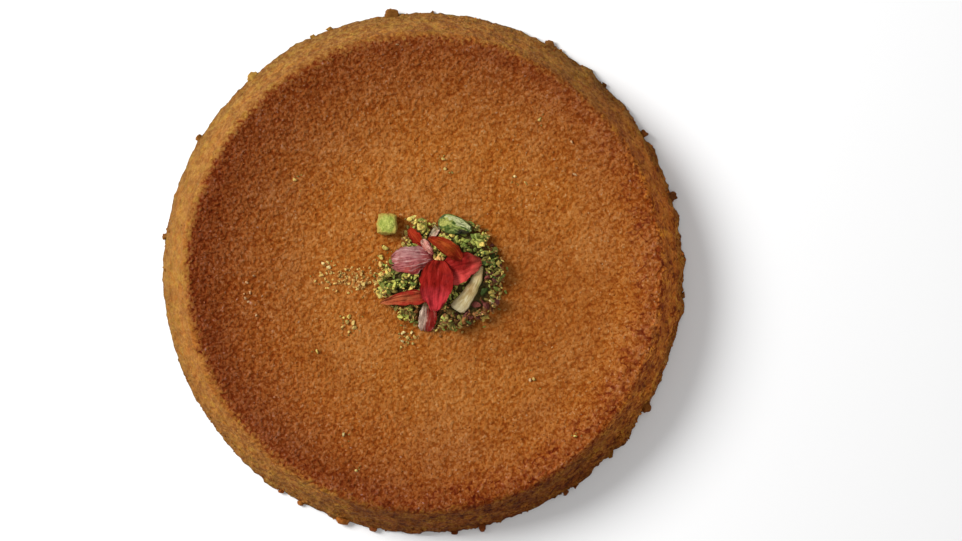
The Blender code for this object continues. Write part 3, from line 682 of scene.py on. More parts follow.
def disc_profile():
    """The radius and height of the profile, from the middle over the rim to the underside."""
    edge_radius = dish_edge()[0]
    steps = round(edge_radius / PROFILE_STEP)
    points = [(edge_radius * step / steps, dish_height(edge_radius * step / steps)) for step in range(steps)]
    lean = wall_lean()
    for step in range(RIM_STEPS + 1):
        angle = math.pi / 2 + RIM_SLOPE + (lean - math.pi / 2 - RIM_SLOPE) * step / RIM_STEPS
        rise = RIM_HEIGHT - RIM_EDGE + RIM_EDGE * math.sin(angle)
        points.append((RIM_RADIUS + RIM_EDGE * math.cos(angle), rise))
    slant = math.tan(lean)
    points += [
        (BASE_RADIUS - 1.0 * MM * slant, 1.0 * MM),
        (BASE_RADIUS - 0.5 * MM * slant - 0.05 * MM, 0.5 * MM),
        (BASE_RADIUS - 0.5 * MM, 0.1 * MM),
        (BASE_RADIUS - 0.8 * MM, 0.0),
        (BASE_RADIUS - UNDERSIDE, 0.0),
    ]
    return np.array(points)


def lattice(reach, pitch, draw):
    """Points of a jittered triangular lattice within reach of the middle, and its triangles."""
    rows = int(reach / (pitch * math.sqrt(3) / 2)) + 2
    columns = int(reach / pitch) + 2
    row, column = np.meshgrid(np.arange(-rows, rows + 1), np.arange(-columns, columns + 1), indexing="ij")
    x = (column + 0.5 * (row % 2)) * pitch
    y = row * pitch * math.sqrt(3) / 2
    points = np.stack([x, y], axis=-1).reshape(-1, 2)
    points += draw.uniform(-SKIN_JITTER, SKIN_JITTER, points.shape) * pitch
    index = np.arange(points.shape[0]).reshape(row.shape)
    here, right = index[:-1, :-1], index[:-1, 1:]
    above, above_right = index[1:, :-1], index[1:, 1:]
    shifted = row[:-1, :-1] % 2 == 1
    first = np.stack([here, right, np.where(shifted, above_right, above)], -1)
    second = np.stack([np.where(shifted, here, right), above_right, above], -1)
    faces = np.concatenate([first.reshape(-1, 3), second.reshape(-1, 3)])
    inside = np.hypot(points[:, 0], points[:, 1]) < reach
    return points, faces[inside[faces].all(axis=1)]


def open_edges(faces):
    """The directed edges that only one face has."""
    edges = np.concatenate([faces[:, [0, 1]], faces[:, [1, 2]], faces[:, [2, 0]]])
    ordered = np.sort(edges, axis=1)
    _, which, counts = np.unique(ordered, axis=0, return_index=True, return_counts=True)
    return edges[which[counts == 1]]


def fan(edges, point):
    """Triangles that close a hole along these edges round a point."""
    return np.column_stack([edges[:, 1], edges[:, 0], np.full(len(edges), point)])


def add_object(name, data):
    obj = bpy.data.objects.new(name, data)
    bpy.context.scene.collection.objects.link(obj)
    return obj


def mesh_piece(name, points, faces, material, **attributes):
    """An object of these points, faces and point attributes, with points that no face has left out."""
    used, faces = np.unique(faces, return_inverse=True)
    faces = faces.reshape(-1, 3)
    data = bpy.data.meshes.new(name)
    data.vertices.add(len(used))
    data.vertices.foreach_set("co", np.asarray(points)[used].astype(np.float32).ravel())
    data.loops.add(faces.size)
    data.loops.foreach_set("vertex_index", faces.astype(np.int32).ravel())
    data.polygons.add(len(faces))
    data.polygons.foreach_set("loop_start", np.arange(0, faces.size, 3, dtype=np.int32))
    data.update(calc_edges=True)
    data.polygons.foreach_set("use_smooth", np.full(len(faces), True))
    for attribute, values in attributes.items():
        values = np.asarray(values, dtype=np.float32)[used]
        kind, field = ("FLOAT_VECTOR", "vector") if values.ndim == 2 else ("FLOAT", "value")
        data.attributes.new(attribute, kind, "POINT").data.foreach_set(field, values.ravel())
    data.materials.append(material)
    return add_object(name, data)


def values_of(data, name):
    """A mesh's point attribute, one row a point."""
    layer = data.attributes[name]
    field, width = ("vector", 3) if layer.data_type == "FLOAT_VECTOR" else ("value", 1)
    flat = np.empty(len(layer.data) * width, np.float32)
    layer.data.foreach_get(field, flat)
    return flat.astype(np.float64).reshape(-1, width)


def grain_modifier(size, fine_size):
    """A node tree that lifts each point along its normal by its grains, by its relief in mm."""
    tree = bpy.data.node_groups.new("grains", "GeometryNodeTree")
    tree.interface.new_socket("Geometry", in_out="INPUT", socket_type="NodeSocketGeometry")
    tree.interface.new_socket("Geometry", in_out="OUTPUT", socket_type="NodeSocketGeometry")
    graph = Graph(tree)
    named = "GeometryNodeInputNamedAttribute"
    place = graph.wire(named, "Attribute", {"Name": "rest"}, data_type="FLOAT_VECTOR")
    relief = graph.wire(named, "Attribute", {"Name": "relief"}, data_type="FLOAT")
    height = grains(graph, place, size, fine_size)[0] - (MEAN_GRAIN + UNEVEN)
    lifted = (graph.noise(place, 0.16, detail=1.0) * (UNEVEN * 2) + height) * (relief * MM)
    normal = graph.wire("GeometryNodeInputNormal", 0)
    offset = graph.wire("ShaderNodeVectorMath", 0, {0: normal, "Scale": lifted}, operation="SCALE")
    start = graph.wire("NodeGroupInput", 0)
    moved_mesh = graph.wire("GeometryNodeSetPosition", 0, {"Geometry": start, "Offset": offset})
    graph.add("NodeGroupOutput", {0: moved_mesh})
    return tree


def raise_grains(obj, tree):
    """Runs the tree on the object once and keeps the mesh that it makes."""
    obj.modifiers.new("grains", "NODES").node_group = tree
    graph = bpy.context.evaluated_depsgraph_get()
    raised = bpy.data.meshes.new_from_object(
        obj.evaluated_get(graph), preserve_all_data_layers=True, depsgraph=graph
    )
    obj.modifiers.clear()
    old, obj.data = obj.data, raised
    bpy.data.meshes.remove(old)
    raised.name = obj.name
    points = values_of(raised, "position")
    points[:, 2] = np.maximum(points[:, 2], 0)
    raised.vertices.foreach_set("co", points.astype(np.float32).ravel())
    raised.update()


def turned_to(angle, direction):
    """From 1 where the angle faces the direction to 0 where it faces away."""
    return 0.5 + 0.5 * math.cos(angle - direction)


def frayed_radius(angle, level):
    """How far the wall stands out at this angle and share of the rim's height."""
    outward = Vector((math.cos(angle), math.sin(angle), 0))
    wave = noise.noise(outward * WAVES_ROUND + Vector((0, 0, level)))
    frays = max(0.0, noise.noise(outward * FRAYS_ROUND + Vector((0, 0, 2 * level))))
    turned = turned_to(angle, RAGGED_SIDE)
    fine = max(0.0, noise.noise(outward * FINE_FRAYS_ROUND + Vector((0, 0, 6 * level))))
    fray = FOOT_FRAY * frays * (LEAST_RAGGED + (1 - LEAST_RAGGED) * turned)
    fray += FINE_FRAY * fine * (LEAST_FINE_FRAY + (1 - LEAST_FINE_FRAY) * turned)
    rise = Vector((0, 0, level * RIM_HEIGHT / WALL_LUMP_SIZE))
    lump = noise.noise(outward * (BASE_RADIUS / WALL_LUMP_SIZE) + rise)
    return WALL_WAVE * wave + fray * (1 - level) + WALL_LUMP * lump


def make_crust(material):
    """The two closed pieces of the crust: its top with the rim, and its side with the foot."""
    profile = disc_profile()
    along = np.concatenate([[0], np.cumsum(np.hypot(*np.diff(profile, axis=0).T))])
    reach = along[-1]
    flat, faces = lattice(reach, SKIN_PITCH, draws("skin"))
    distance = np.hypot(flat[:, 0], flat[:, 1])
    distance[np.unique(open_edges(faces))] = reach
    angle = np.arctan2(flat[:, 1], flat[:, 0])
    radius = np.interp(distance, along, profile[:, 0])
    height = np.interp(distance, along, profile[:, 1])
    wall_start = dish_edge()[0]
    dish_points = round(wall_start / PROFILE_STEP)
    rim_start = np.interp(wall_start, profile[:dish_points, 0], along[:dish_points])
    rim_end = rim_start + RIM_EDGE * (math.pi / 2 + RIM_SLOPE - wall_lean())
    frayed_to = reach - 1.2 * UNDERSIDE + 3 * MM
    for vert in np.flatnonzero((distance > rim_end - RIM_EDGE) & (distance < frayed_to)):
        share = float(between(distance[vert], rim_end - RIM_EDGE, rim_end + 0.5 * MM))
        radius[vert] += share * frayed_radius(float(angle[vert]), float(height[vert]) / RIM_HEIGHT)
    points = np.stack([radius * np.cos(angle), radius * np.sin(angle), height], axis=-1)
    ragged = (0.5 + 0.5 * np.cos(angle - RAGGED_SIDE)) ** 2
    start = EDGE_START * (1 - ragged) - EDGE_LATE * np.maximum(np.cos(angle - EDGE_LATE_SIDE), 0)
    wall = np.clip((distance - rim_start + start) / EDGE_SPAN, 0, 1)
    wall_relief = WALL_RELIEF + (RAGGED_RELIEF - WALL_RELIEF) * ragged
    relief = TOP_RELIEF + (wall_relief - TOP_RELIEF) * between(distance, rim_end - MM, rim_end + 2 * MM)
    foot = reach - UNDERSIDE
    relief *= 1 - between(distance, foot - 1.5 * MM, foot)
    is_top = distance[faces].mean(axis=1) < SKIN_SPLIT
    whole = mesh_piece("whole", points, faces, material, rest=points / MM, wall=wall, relief=relief)
    raise_grains(whole, grain_modifier(GRAIN, FINE_GRAIN))
    points, rest, wall = (values_of(whole.data, name) for name in ("position", "rest", "wall"))
    faces = np.empty(len(whole.data.polygons) * 3, np.int32)
    whole.data.polygons.foreach_get("vertices", faces)
    faces = faces.reshape(-1, 3)
    bpy.data.objects.remove(whole)
    inner, under = len(points), len(points) + 1
    points = np.concatenate([points, [[0, 0, SKIN_SINK], [0, 0, 0]]])
    rest = np.concatenate([rest, points[-2:] / MM])
    wall = np.concatenate([wall[:, 0], [1, 1]])
    rim_fan = fan(open_edges(faces[is_top]), inner)
    top_faces = np.concatenate([faces[is_top], rim_fan])
    side_faces = np.concatenate([faces[~is_top], rim_fan[:, [1, 0, 2]], fan(open_edges(faces), under)])
    top = mesh_piece("crust_top", points, top_faces, material, rest=rest, wall=wall)
    return top, mesh_piece("crust_side", points, side_faces, material, rest=rest, wall=wall)


# Broken pieces, joined into one mesh for each kind


def ball(subdivisions):
    """Points and triangles of an icosphere with a radius of a half."""
    mesh = bmesh.new()
    bmesh.ops.create_icosphere(mesh, subdivisions=subdivisions, radius=0.5)
    mesh.verts.index_update()
    points = np.array([vert.co for vert in mesh.verts])
    faces = np.array([[vert.index for vert in face.verts] for face in mesh.faces])
    mesh.free()
    return points, faces


def broken(count, subdivisions, cuts, draw, lumpiness=0.05):
    """Balls with pieces broken off along flat planes, and a slightly lumpy surface."""
    shapes = []
    for _ in range(count):
        points, faces = ball(subdivisions)
        for _ in range(cuts):
            facing = draw.normal(size=3)
            facing /= np.linalg.norm(facing)
            past = np.maximum(points @ facing - draw.uniform(*CUTS), 0)
            points -= past[:, None] * facing
        shift = Vector(draw.uniform(-50, 50, 3))
        for index, point in enumerate(points):
            lump = noise.noise(Vector(point) * 3.2 + shift) + 0.5 * noise.noise(Vector(point) * 7.5 + shift)
            points[index] = point * (1 + 2 * lumpiness * lump)
        shapes.append((points - (points.max(axis=0) + points.min(axis=0)) / 2, faces))
    return shapes


def moved(points, matrix):
    matrix = np.array(matrix)
    return points @ matrix[:3, :3].T + matrix[:3, 3]


class Batch:
    """Many small closed bodies that become one mesh."""

    def __init__(self, shapes):
        self.shapes = shapes
        self.points, self.faces, self.paint = [], [], []
        self.count = 0

    def add(self, shape, matrix, paint):
        points, faces = self.shapes[shape % len(self.shapes)]
        self.points.append(moved(points, matrix))
        self.faces.append(faces + self.count)
        self.paint.append(np.tile(paint, (len(points), 1)))
        self.count += len(points)

    def piece(self, name, material):
        points = np.concatenate(self.points)
        rest = points / MM
        points[:, 2] = np.maximum(points[:, 2], LEAST_HEIGHT)
        paint = np.concatenate(self.paint)
        obj = mesh_piece(name, points, np.concatenate(self.faces), material, rest=rest, paint=paint)
        obj.data.set_sharp_from_angle(angle=SHARP)
        return obj


def turn_about(axis, angle):
    return Matrix.Rotation(angle, 4, axis)


def any_turn(draw):
    """A random turn about a random axis."""
    axis = draw.normal(size=3)
    return turn_about(Vector(axis), draw.uniform(0, math.tau))


def placed_at(spot, turn, size):
    return Matrix.Translation(spot) @ turn @ Matrix.Diagonal((*size, 1))


def tinted(colour, draw):
    """The colour, a little lighter or darker and a little warmer or cooler."""
    light = 1 + draw.uniform(-TINT_SPREAD, TINT_SPREAD)
    warm = draw.uniform(-TINT_SPREAD, TINT_SPREAD) / 2
    return (colour[0] * light * (1 + warm), colour[1] * light, colour[2] * light * (1 - warm))


def toned(colour, tint, share):
    """The colour multiplied by the tint, as far as the share says."""
    return tuple(channel * (1 + share * (part - 1)) for channel, part in zip(colour, tint))


def set_down(points, node):
    """Moves the points until the lowest is level with the solid's."""
    points[:, 2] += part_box(node)[0].z - points[:, 2].min()
    return points


# The heap's form, as in the solids


def heap_reach(angle):
    reach = HEAP_RADIUS
    for towards, half_width, extra in HEAP_TONGUES:
        off = math.remainder(angle - math.radians(towards), math.tau) / math.radians(half_width)
        reach += extra * MM * math.exp(-(off**2))
    return reach


def heap_height(x, y):
    across = Vector((x, y)) - HEAP_CENTRE
    share = across.length / heap_reach(math.atan2(across.y, across.x))
    return HEAP_HEIGHT * (1 - share**2) ** 0.75 if share < 1 else 0.0


def make_core(material):
    """The heap's own closed core of fused crumbs."""
    flat, faces = lattice(HEAP_RADIUS, CORE_PITCH, draws("core"))
    edge = open_edges(faces)
    angle = np.arctan2(flat[:, 1], flat[:, 0])
    reach = np.array([heap_reach(float(turn)) for turn in angle])
    share = np.hypot(flat[:, 0], flat[:, 1]) / HEAP_RADIUS
    share[np.unique(edge)] = 1.0
    plan = np.stack([np.cos(angle), np.sin(angle)], -1) * (share * reach)[:, None] + np.array(HEAP_CENTRE)
    rise = HEAP_HEIGHT * np.clip(1 - share**2, 0, 1) ** 0.75
    rise = np.where(share < 1, np.maximum(rise, HEAP_SKIRT), 0)
    relief = CORE_RELIEF * between(1 - share, 0, 0.12)
    # The core is dark, partly as painted shade between the chips, and browner towards its edge.
    browner = between(share, 0.78, 1.0)[:, None]
    paint = np.array(CORE_NUT_AND_SHADE) + browner * (np.array(DARK_CRUST) - np.array(CORE_NUT_AND_SHADE))
    points = np.column_stack([plan, FLOOR + GAP / 2 + rise])
    points = np.concatenate([points, [[*HEAP_CENTRE, FLOOR + GAP / 2]]])
    faces = np.concatenate([faces, fan(edge, len(points) - 1)])
    relief, paint = np.concatenate([relief, [0]]), np.concatenate([paint, [DARK_CRUST]])
    core = mesh_piece("heap_core", points, faces, material, rest=points / MM, relief=relief, paint=paint)
    raise_grains(core, grain_modifier(CORE_GRAIN, CORE_FINE_GRAIN))
    return core


# Petals


def petal_outline(share, shape):
    power = math.log(0.5) / math.log(shape.wide)
    return max(0.2, math.sin(math.pi * (0.04 + 0.92 * share) ** power) ** shape.blunt)


def petal_point(shape, along, across):
    """A point of the petal's sheet: along runs 0 to 1 from base to tip, across -1 to 1."""
    start, end = Vector(shape.base) * MM, Vector(shape.tip) * MM
    direction = (end - start).normalized()
    side = Vector((-direction.y, direction.x))
    outline = petal_outline(along, shape)
    spot = start.lerp(end, along) + side * (shape.bow * MM * math.sin(math.pi * along))
    nick = noise.noise(Vector((5 * along, 3 * across, start.x / MM)))
    spot += side * across * shape.half * MM * outline * (1 + PETAL_NICK * nick)
    ripple = PETAL_RIPPLE * noise.noise(Vector((spot.x, spot.y, 0)) / (5 * MM))
    height = shape.arch * math.sin(math.pi * along) + shape.lift * along**2
    height += shape.cup * across**2 * outline
    return Vector((spot.x, spot.y, heap_height(spot.x, spot.y) + height * MM + ripple))


def petal_detail(shape, along, across):
    """The sheet's point with its fine creases, veins and ragged end."""
    seed = shape.base[0] * 7
    ragged = RAGGED_TIP * abs(noise.noise(Vector((across * 3.5, seed, 3.0))))
    along *= 1 - ragged * along
    torn = noise.noise(Vector((along * 11, math.copysign(2, across), seed)))
    across *= 1 + TORN_EDGE * abs(across) * torn
    if across < 0:
        across *= 1 - shape.slim * float(between(along, 0.35, 0.75))
    spot = petal_point(shape, along, across)
    spot.z += CRUMPLE * noise.noise(Vector((spot.x, spot.y, seed * MM)) / CRUMPLE_SIZE)
    spread = across * (0.6 + 0.4 * math.sin(math.pi * along))
    crease = noise.noise(Vector((spread * CREASES_ACROSS, along * 2.2, seed)))
    vein = abs(noise.noise(Vector((spread * CREASES_ACROSS * 1.6, along * 1.2, seed + 9))))
    spot.z += CREASE * crease - VEIN_RIDGE * min(1.0, 6 * vein)
    return spot


def make_petal(name, shape):
    """A closed thin sheet, its rounded edge included, with its own material."""
    steps_along, steps_across = PETAL_STEPS
    leaf = []
    for i in range(steps_along + 1):
        leaf += [(i / steps_along, 2 * j / steps_across - 1, 0) for j in range(steps_across + 1)]
    points = np.array([petal_detail(shape, along, across) for along, across, _ in leaf])
    faces = []
    for i in range(steps_along):
        for j in range(steps_across):
            first = i * (steps_across + 1) + j
            over = first + steps_across + 1
            faces += [(first, over, first + 1), (over, over + 1, first + 1)]
    faces = np.array(faces)
    corner = points[faces]
    facing = np.cross(corner[:, 1] - corner[:, 0], corner[:, 2] - corner[:, 0])
    if facing[:, 2].sum() < 0:
        faces, facing = faces[:, [0, 2, 1]], -facing
    normals = np.zeros_like(points)
    for side in range(3):
        np.add.at(normals, faces[:, side], facing)
    normals /= np.maximum(np.linalg.norm(normals, axis=1), 1e-15)[:, None]
    edge = open_edges(faces)
    thickness = np.full(len(points), PETAL_THICKNESS)
    thickness[np.unique(edge)] *= PETAL_EDGE
    count = len(points)
    points = np.concatenate([points, points + normals * thickness[:, None]])
    start, end = edge.T
    bands = [np.column_stack([end, start, start + count]), np.column_stack([end, start + count, end + count])]
    faces = np.concatenate([faces[:, [0, 2, 1]], faces + count, *bands])
    points = set_down(points, name)
    material = petal_material(name, PETAL_COLOURS[name])
    return mesh_piece(name + "_leaf", points, faces, material, rest=points / MM, leaf=leaf + leaf)


# Single nut pieces


def make_sliver(material):
    """The long blanched sliver, with a rounded section and fine grooves along it."""
    start, end = (Vector(point) * MM for point in SLIVER_ENDS)
    direction = (end - start).normalized()
    side = Vector((-direction.y, direction.x))
    steps_along, steps_round = SLIVER_STEPS
    points, leaf = [], []
    for i in range(steps_along + 1):
        along = i / steps_along
        share = (1 - SLIVER_TAPER * along) * min(1.0, SLIVER_BLUNTNESS + (1 - along) / SLIVER_TIP)
        share *= min(1.0, 0.35 + 14 * along) ** 0.5
        nibble = 1 + SLIVER_NIBBLE * noise.noise(Vector((along * 9, 0, 4)))
        for j in range(steps_round):
            turn = math.tau * j / steps_round
            round_x, round_z = math.cos(turn), math.sin(turn)
            across = math.copysign(abs(round_x) ** 0.75, round_x)
            off = across * share * nibble * SLIVER_WIDTH / 2 - SLIVER_BOW * math.sin(math.pi * along)
            spot = start.lerp(end, along) + side * off
            rise = SLIVER_ARCH * math.sin(math.pi * along)
            thick = SLIVER_THICKNESS * (0.55 + 0.45 * share)
            groove = SLIVER_GROOVE * noise.noise(Vector((across * 7, along * 3, 1.5)))
            height = heap_height(spot.x, spot.y) + rise + (0.5 + 0.5 * round_z) * thick + groove
            points.append((spot.x, spot.y, height))
            leaf.append((along, across, round_z))
    faces = []
    for i in range(steps_along):
        for j in range(steps_round):
            first, after = i * steps_round + j, i * steps_round + (j + 1) % steps_round
            faces += [(first, after, first + steps_round), (after, after + steps_round, first + steps_round)]
    last = steps_along * steps_round
    centres = [np.mean(points[:steps_round], axis=0), np.mean(points[last:], axis=0)]
    points += [tuple(centre) for centre in centres]
    leaf += [(0, 0, 0), (1, 0, 0)]
    for j in range(steps_round):
        after = (j + 1) % steps_round
        faces += [(len(points) - 2, after, j), (len(points) - 1, last + j, last + after)]
    points = set_down(np.array(points), "nut_sliver")
    return facing_out(mesh_piece("sliver", points, np.array(faces), material, rest=points / MM, leaf=leaf))


def facing_out(obj):
    mesh = bmesh.new()
    mesh.from_mesh(obj.data)
    bmesh.ops.recalc_face_normals(mesh, faces=mesh.faces)
    mesh.to_mesh(obj.data)
    mesh.free()
    return obj


def make_slice(material):
    """Half a kernel with its rough cut face up and its ridged skin round it."""
    points, faces = ball(6)
    leaf = []
    for index, point in enumerate(points):
        spot = Vector(point)
        rough = noise.noise(spot * 9) + 0.6 * noise.noise(spot * 21)
        groove = noise.noise(Vector((spot.x * 2.0, math.atan2(spot.z, spot.y) * 3.2, 5)))
        spot *= 1 + 0.09 * groove + 0.025 * rough
        top = SLICE_CUT + 0.03 * rough + 0.08 * noise.noise(Vector((spot.x * 3, spot.y * 7, 2)))
        top += 0.07 * float(between(spot.y + 0.3 * spot.x, 0.05, 0.25)) - 0.03
        is_cut = spot.z > top
        spot.z = min(spot.z, top)
        spot.y *= 1 - SLICE_TAPER * spot.x
        leaf.append((spot.x, spot.y, float(is_cut)))
        points[index] = spot
    tilted = turn_about("X", SLICE_TILT) @ Matrix.Diagonal((*SLICE_SIZE, 1))
    place = Matrix.Translation((*SLICE_PLACE, 0)) @ turn_about("Z", SLICE_TURN) @ tilted
    points = set_down(moved(points, place), "pistachio_slice")
    return mesh_piece("slice", points, faces, material, rest=points / MM, leaf=leaf)


def make_chunk(material):
    """The broken nut piece: a rounded block, crumbly all over."""
    points, faces = ball(6)
    for index, point in enumerate(points):
        spot = Vector(point) * 2
        edge = max(abs(spot.x), abs(spot.y), abs(spot.z))
        spot *= (1 / edge) * (0.5 * (0.62 + 0.38 * edge))
        lump = noise.noise(spot * 3.1 + Vector((4, 1, 0)))
        crumb = noise.noise(spot * 8) + 0.6 * noise.noise(spot * 19)
        spot *= 1 + 0.12 * lump + 0.055 * crumb
        spot.z = max(spot.z, -CHUNK_FOOT)
        points[index] = spot
    place = placed_at((*CHUNK_PLACE, 0), turn_about("Z", CHUNK_TURN), CHUNK_SIZE)
    points = set_down(moved(points, place), "pistachio_chunk")
    return mesh_piece("chunk", points, faces, material, rest=points / MM)


# Materials

# What the crust's colours are worked out from at each point: its place in mm, the direction outwards,
# the distance from the middle, how ragged its side is, and its grains.
Site = namedtuple("Site", "place outward radius ragged height lots fine_lots")


def tint_rings(graph, colour, tints, site):
    """The colour with each tint laid on its side of a ring round the dish."""
    for degrees, start, tint, (inside, full, fading, outside) in tints:
        share = site.radius.fit(inside, full) * site.radius.fade(fading, outside)
        colour = colour.tint(tint, share * graph.turned(site.outward, degrees).fit(start, 1.0))
    return colour


def top_colour(graph, site):
    """The dish and the rim: baked grains with dark pits between them, partly painted shade, browner to the
    rim, and a painted shadow beside the heap.
    """
    place = site.place
    tone = graph.noise(place, 0.8, roughness=0.55) * 1.7 + (site.lots[1] * 0.45 - 0.895)
    tone = graph.noise(place, 0.42, detail=1.0) * 0.6 + tone
    colour = tone.ramp((0.1, DARK_CRUST), (0.42, CRUST), (0.62, CRUST), (0.95, LIGHT_CRUST))
    colour = colour.mix(PALE_CRUST, site.fine_lots[1].fit(0.988, 0.994, 0.0, 0.55))
    colour = colour.mix(LIGHT_CRUST, graph.noise(place, 0.045, detail=3.0).fit(0.35, 0.7, 0.0, 0.3))
    colour = colour.tint(ROLLING, graph.noise(place, 0.17).fit(0.48, 0.68, 0.0, 0.8))
    # The low places between grains darkened: partly their own colour, partly painted shade.
    colour = colour.tint(PIT, site.height.fade(0.28, 0.52, 0.9))
    # Painted shadow of the heap on the dish beside it.
    colour = colour.tint(HEAP_SHADOW_TINT, graph.reach(place, HEAP_SHADOW_CENTRE).fade(*HEAP_SHADOW_RANGE))
    browner = graph.reach(place, BROWN_CENTRE).fit(*BROWN_RANGE, 0.0, 1.0, "LINEAR")
    colour = colour.tint(BROWNED, browner)
    colour = colour.tint(RIM_SPECK, site.fine_lots[2].fit(0.78, 0.95) * browner)
    colour = colour.tint(RIM_FLECK, site.fine_lots[2].fade(0.05, 0.22) * browner)
    # More painted shade in the pits where the top is browner.
    colour = colour.tint(PIT, site.height.fade(0.30, 0.56, 0.8) * browner)
    near_rim = site.radius.fit(*RIM_PATCHES[:2]) * site.radius.fade(*RIM_PATCHES[2:])
    near_rim = near_rim * (site.ragged * 0.6 + 0.3)
    patches = graph.noise(place, 0.36, detail=3.0, roughness=0.6, output="Color").parts()
    for patch, tint in zip(patches, (RED_PATCH, PALE_PATCH)):
        colour = colour.tint(tint, near_rim * patch.fit(0.52, 0.62))
    return tint_rings(graph, colour, DISH_TINTS, site)


def wall_colour(graph, site):
    """The wall: soft tones drawn out upwards, mottled, pitted on the ragged side (partly painted shade), dark
    at its foot, with painted light and shade by the way it faces and painted shade on its foot away from the
    lamp.
    """
    ragged = site.ragged
    upright = graph.vector("MULTIPLY", site.place, UPRIGHT)
    colour = graph.noise(upright, 0.15, detail=3.0, roughness=0.6).ramp(*zip(WALL_STOPS, WALL_TONES))
    colour = colour.mix(WALL_MEAN, ragged * -0.6 + 0.6)
    hues = graph.noise(site.place, 0.20, roughness=0.6, output="Color").parts()
    for hue, tint in zip(hues, (WALL_ORANGE, WALL_OLIVE)):
        colour = colour.tint(tint, hue.fit(0.50, 0.62))
    coarseness = abs(site.outward.parts()[1]).fit(0.0, 1.0, *WALL_COARSENESS)
    mottle = graph.noise(upright, 0.45, detail=3.0, roughness=0.6)
    colour = colour.tint(WALL_MOTTLE, coarseness * mottle.fade(0.40, 0.56, 0.9))
    speck = graph.noise(upright, 1.1, roughness=0.6)
    colour = colour.tint(WALL_SPECK, coarseness * speck.fit(0.5, 0.66))
    colour = colour.tint(WALL_PIT, graph.noise(upright, 0.42).fit(0.56, 0.66) * (ragged * 0.6 + 0.35))
    # The same darkening of low places on the ragged side, partly painted shade.
    colour = colour.tint(PIT, site.height.fade(0.28, 0.52, 0.8) * ragged)
    # Painted light and shade on the wall by the way it faces.
    for degrees, start, tint in WALL_PAINTED_LIGHT_AND_SHADE:
        colour = colour.tint(tint, graph.turned(site.outward, degrees).fit(start, WALL_PAINTED_FULL))
    level = site.place.parts()[2]
    upper = level.fit(*UPPER_WALL)
    colour = colour.tint(WALL_TOP, upper)
    colour = colour.tint(RAGGED_TOP, upper * ragged)
    colour = colour.tint(FOOT, level.fade(*FOOT_HEIGHTS) * (ragged * -0.9 + 1.0))
    colour = colour.tint(FOOT_EDGE, level.fade(*FOOT_EDGE_HEIGHTS, 0.8))
    # Painted shade on the foot, on the side away from the lamp.
    shade_side = graph.turned(site.outward, FOOT_SHADE_SIDE).fit(0.5, 0.9)
    return colour.tint(FOOT_PAINTED_SHADE, level.fade(*FOOT_SHADE_HEIGHTS) * shade_side)


def crust_material(name):
    """The top's colours, giving way to the wall's across the rounded rim."""
    material, graph, place = new_material(name, 0.8, 0.05)
    outward = graph.vector("NORMALIZE", graph.vector("MULTIPLY", place, FLAT))
    ragged = graph.turned(outward, RAGGED_DEGREES).fit(-0.2, 0.9)
    radius = graph.reach(place, (0.0, 0.0, 0.0))
    site = Site(place, outward, radius, ragged, *grains(graph, place, GRAIN, FINE_GRAIN))
    edge = (site.height - MEAN_GRAIN) * 0.55 + graph.attribute("wall", "Fac")
    edge = (graph.noise(place, 0.33, detail=3.0) - 0.5) + edge
    colour = top_colour(graph, site).mix(wall_colour(graph, site), edge.fit(0.24, 0.76))
    # Painted light on the rim where it turns away from the lamp.
    colour = tint_rings(graph, colour, RIM_PAINTED_LIGHT, site)
    line = abs(graph.noise(place, 0.2, detail=1.5) - 0.5).fade(0.020, 0.060)
    broken_up = graph.noise(place, 0.15, detail=1.0).fit(0.50, 0.56)
    colour = colour.tint(CRACK, line * broken_up * radius.fit(*CRACK_START) * ragged)
    detail = graph.noise(place, 2.2, detail=3.0) * 0.35 + site.height
    finish_material(graph, colour, detail, 0.45 * MM, 0.8)
    return material


def nut_material(name):
    """Chopped nut, each piece in its own colour, mottled and crumbly."""
    material, graph, place = new_material(name, 0.6, 0.15)
    mottle = graph.noise(place, 0.7, detail=3.0, roughness=0.6)
    colour = graph.attribute("paint", "Color").tint(NUT_LIGHT, mottle.fit(0.5, 0.66, 0.0, 0.7))
    colour = colour.tint(NUT_DARK, mottle.fade(0.34, 0.48, 0.85))
    finish_material(graph, colour, graph.noise(place, 2.4, detail=3.0, roughness=0.6), 0.4 * MM, 0.8)
    return material


def crumb_material(name):
    """Loose crumbs of crust, each in its own colour."""
    material, graph, place = new_material(name, 0.8, 0.05)
    mottle = graph.noise(place, 0.8, detail=3.0)
    colour = graph.attribute("paint", "Color").tint(CRUMB_DARK, mottle.fit(0.35, 0.7, 0.0, 0.7))
    finish_material(graph, colour, graph.noise(place, 2.0, detail=3.0), 0.3 * MM, 0.7)
    return material


def chunk_material(name):
    """Yellow-green nut, mottled, with an edge browner than its middle."""
    material, graph, place = new_material(name, 0.6, 0.15)
    mottle = graph.noise(place, 0.35, detail=4.0, roughness=0.6)
    colour = mottle.ramp(*CHUNK_TONES)
    colour = colour.mix(CHUNK_SPOT, graph.noise(place, 1.3).fit(0.52, 0.68, 0.0, 0.7))
    rim = mottle * 3.0 + (graph.reach(place, (*(CHUNK_PLACE / MM), 0.0)) - 1.5)
    colour = colour.mix(CHUNK_EDGE, rim.fit(3.0, 4.8, 0.0, 0.85))
    finish_material(graph, colour, graph.noise(place, 1.6, detail=4.0), 0.5 * MM, 0.6)
    return material


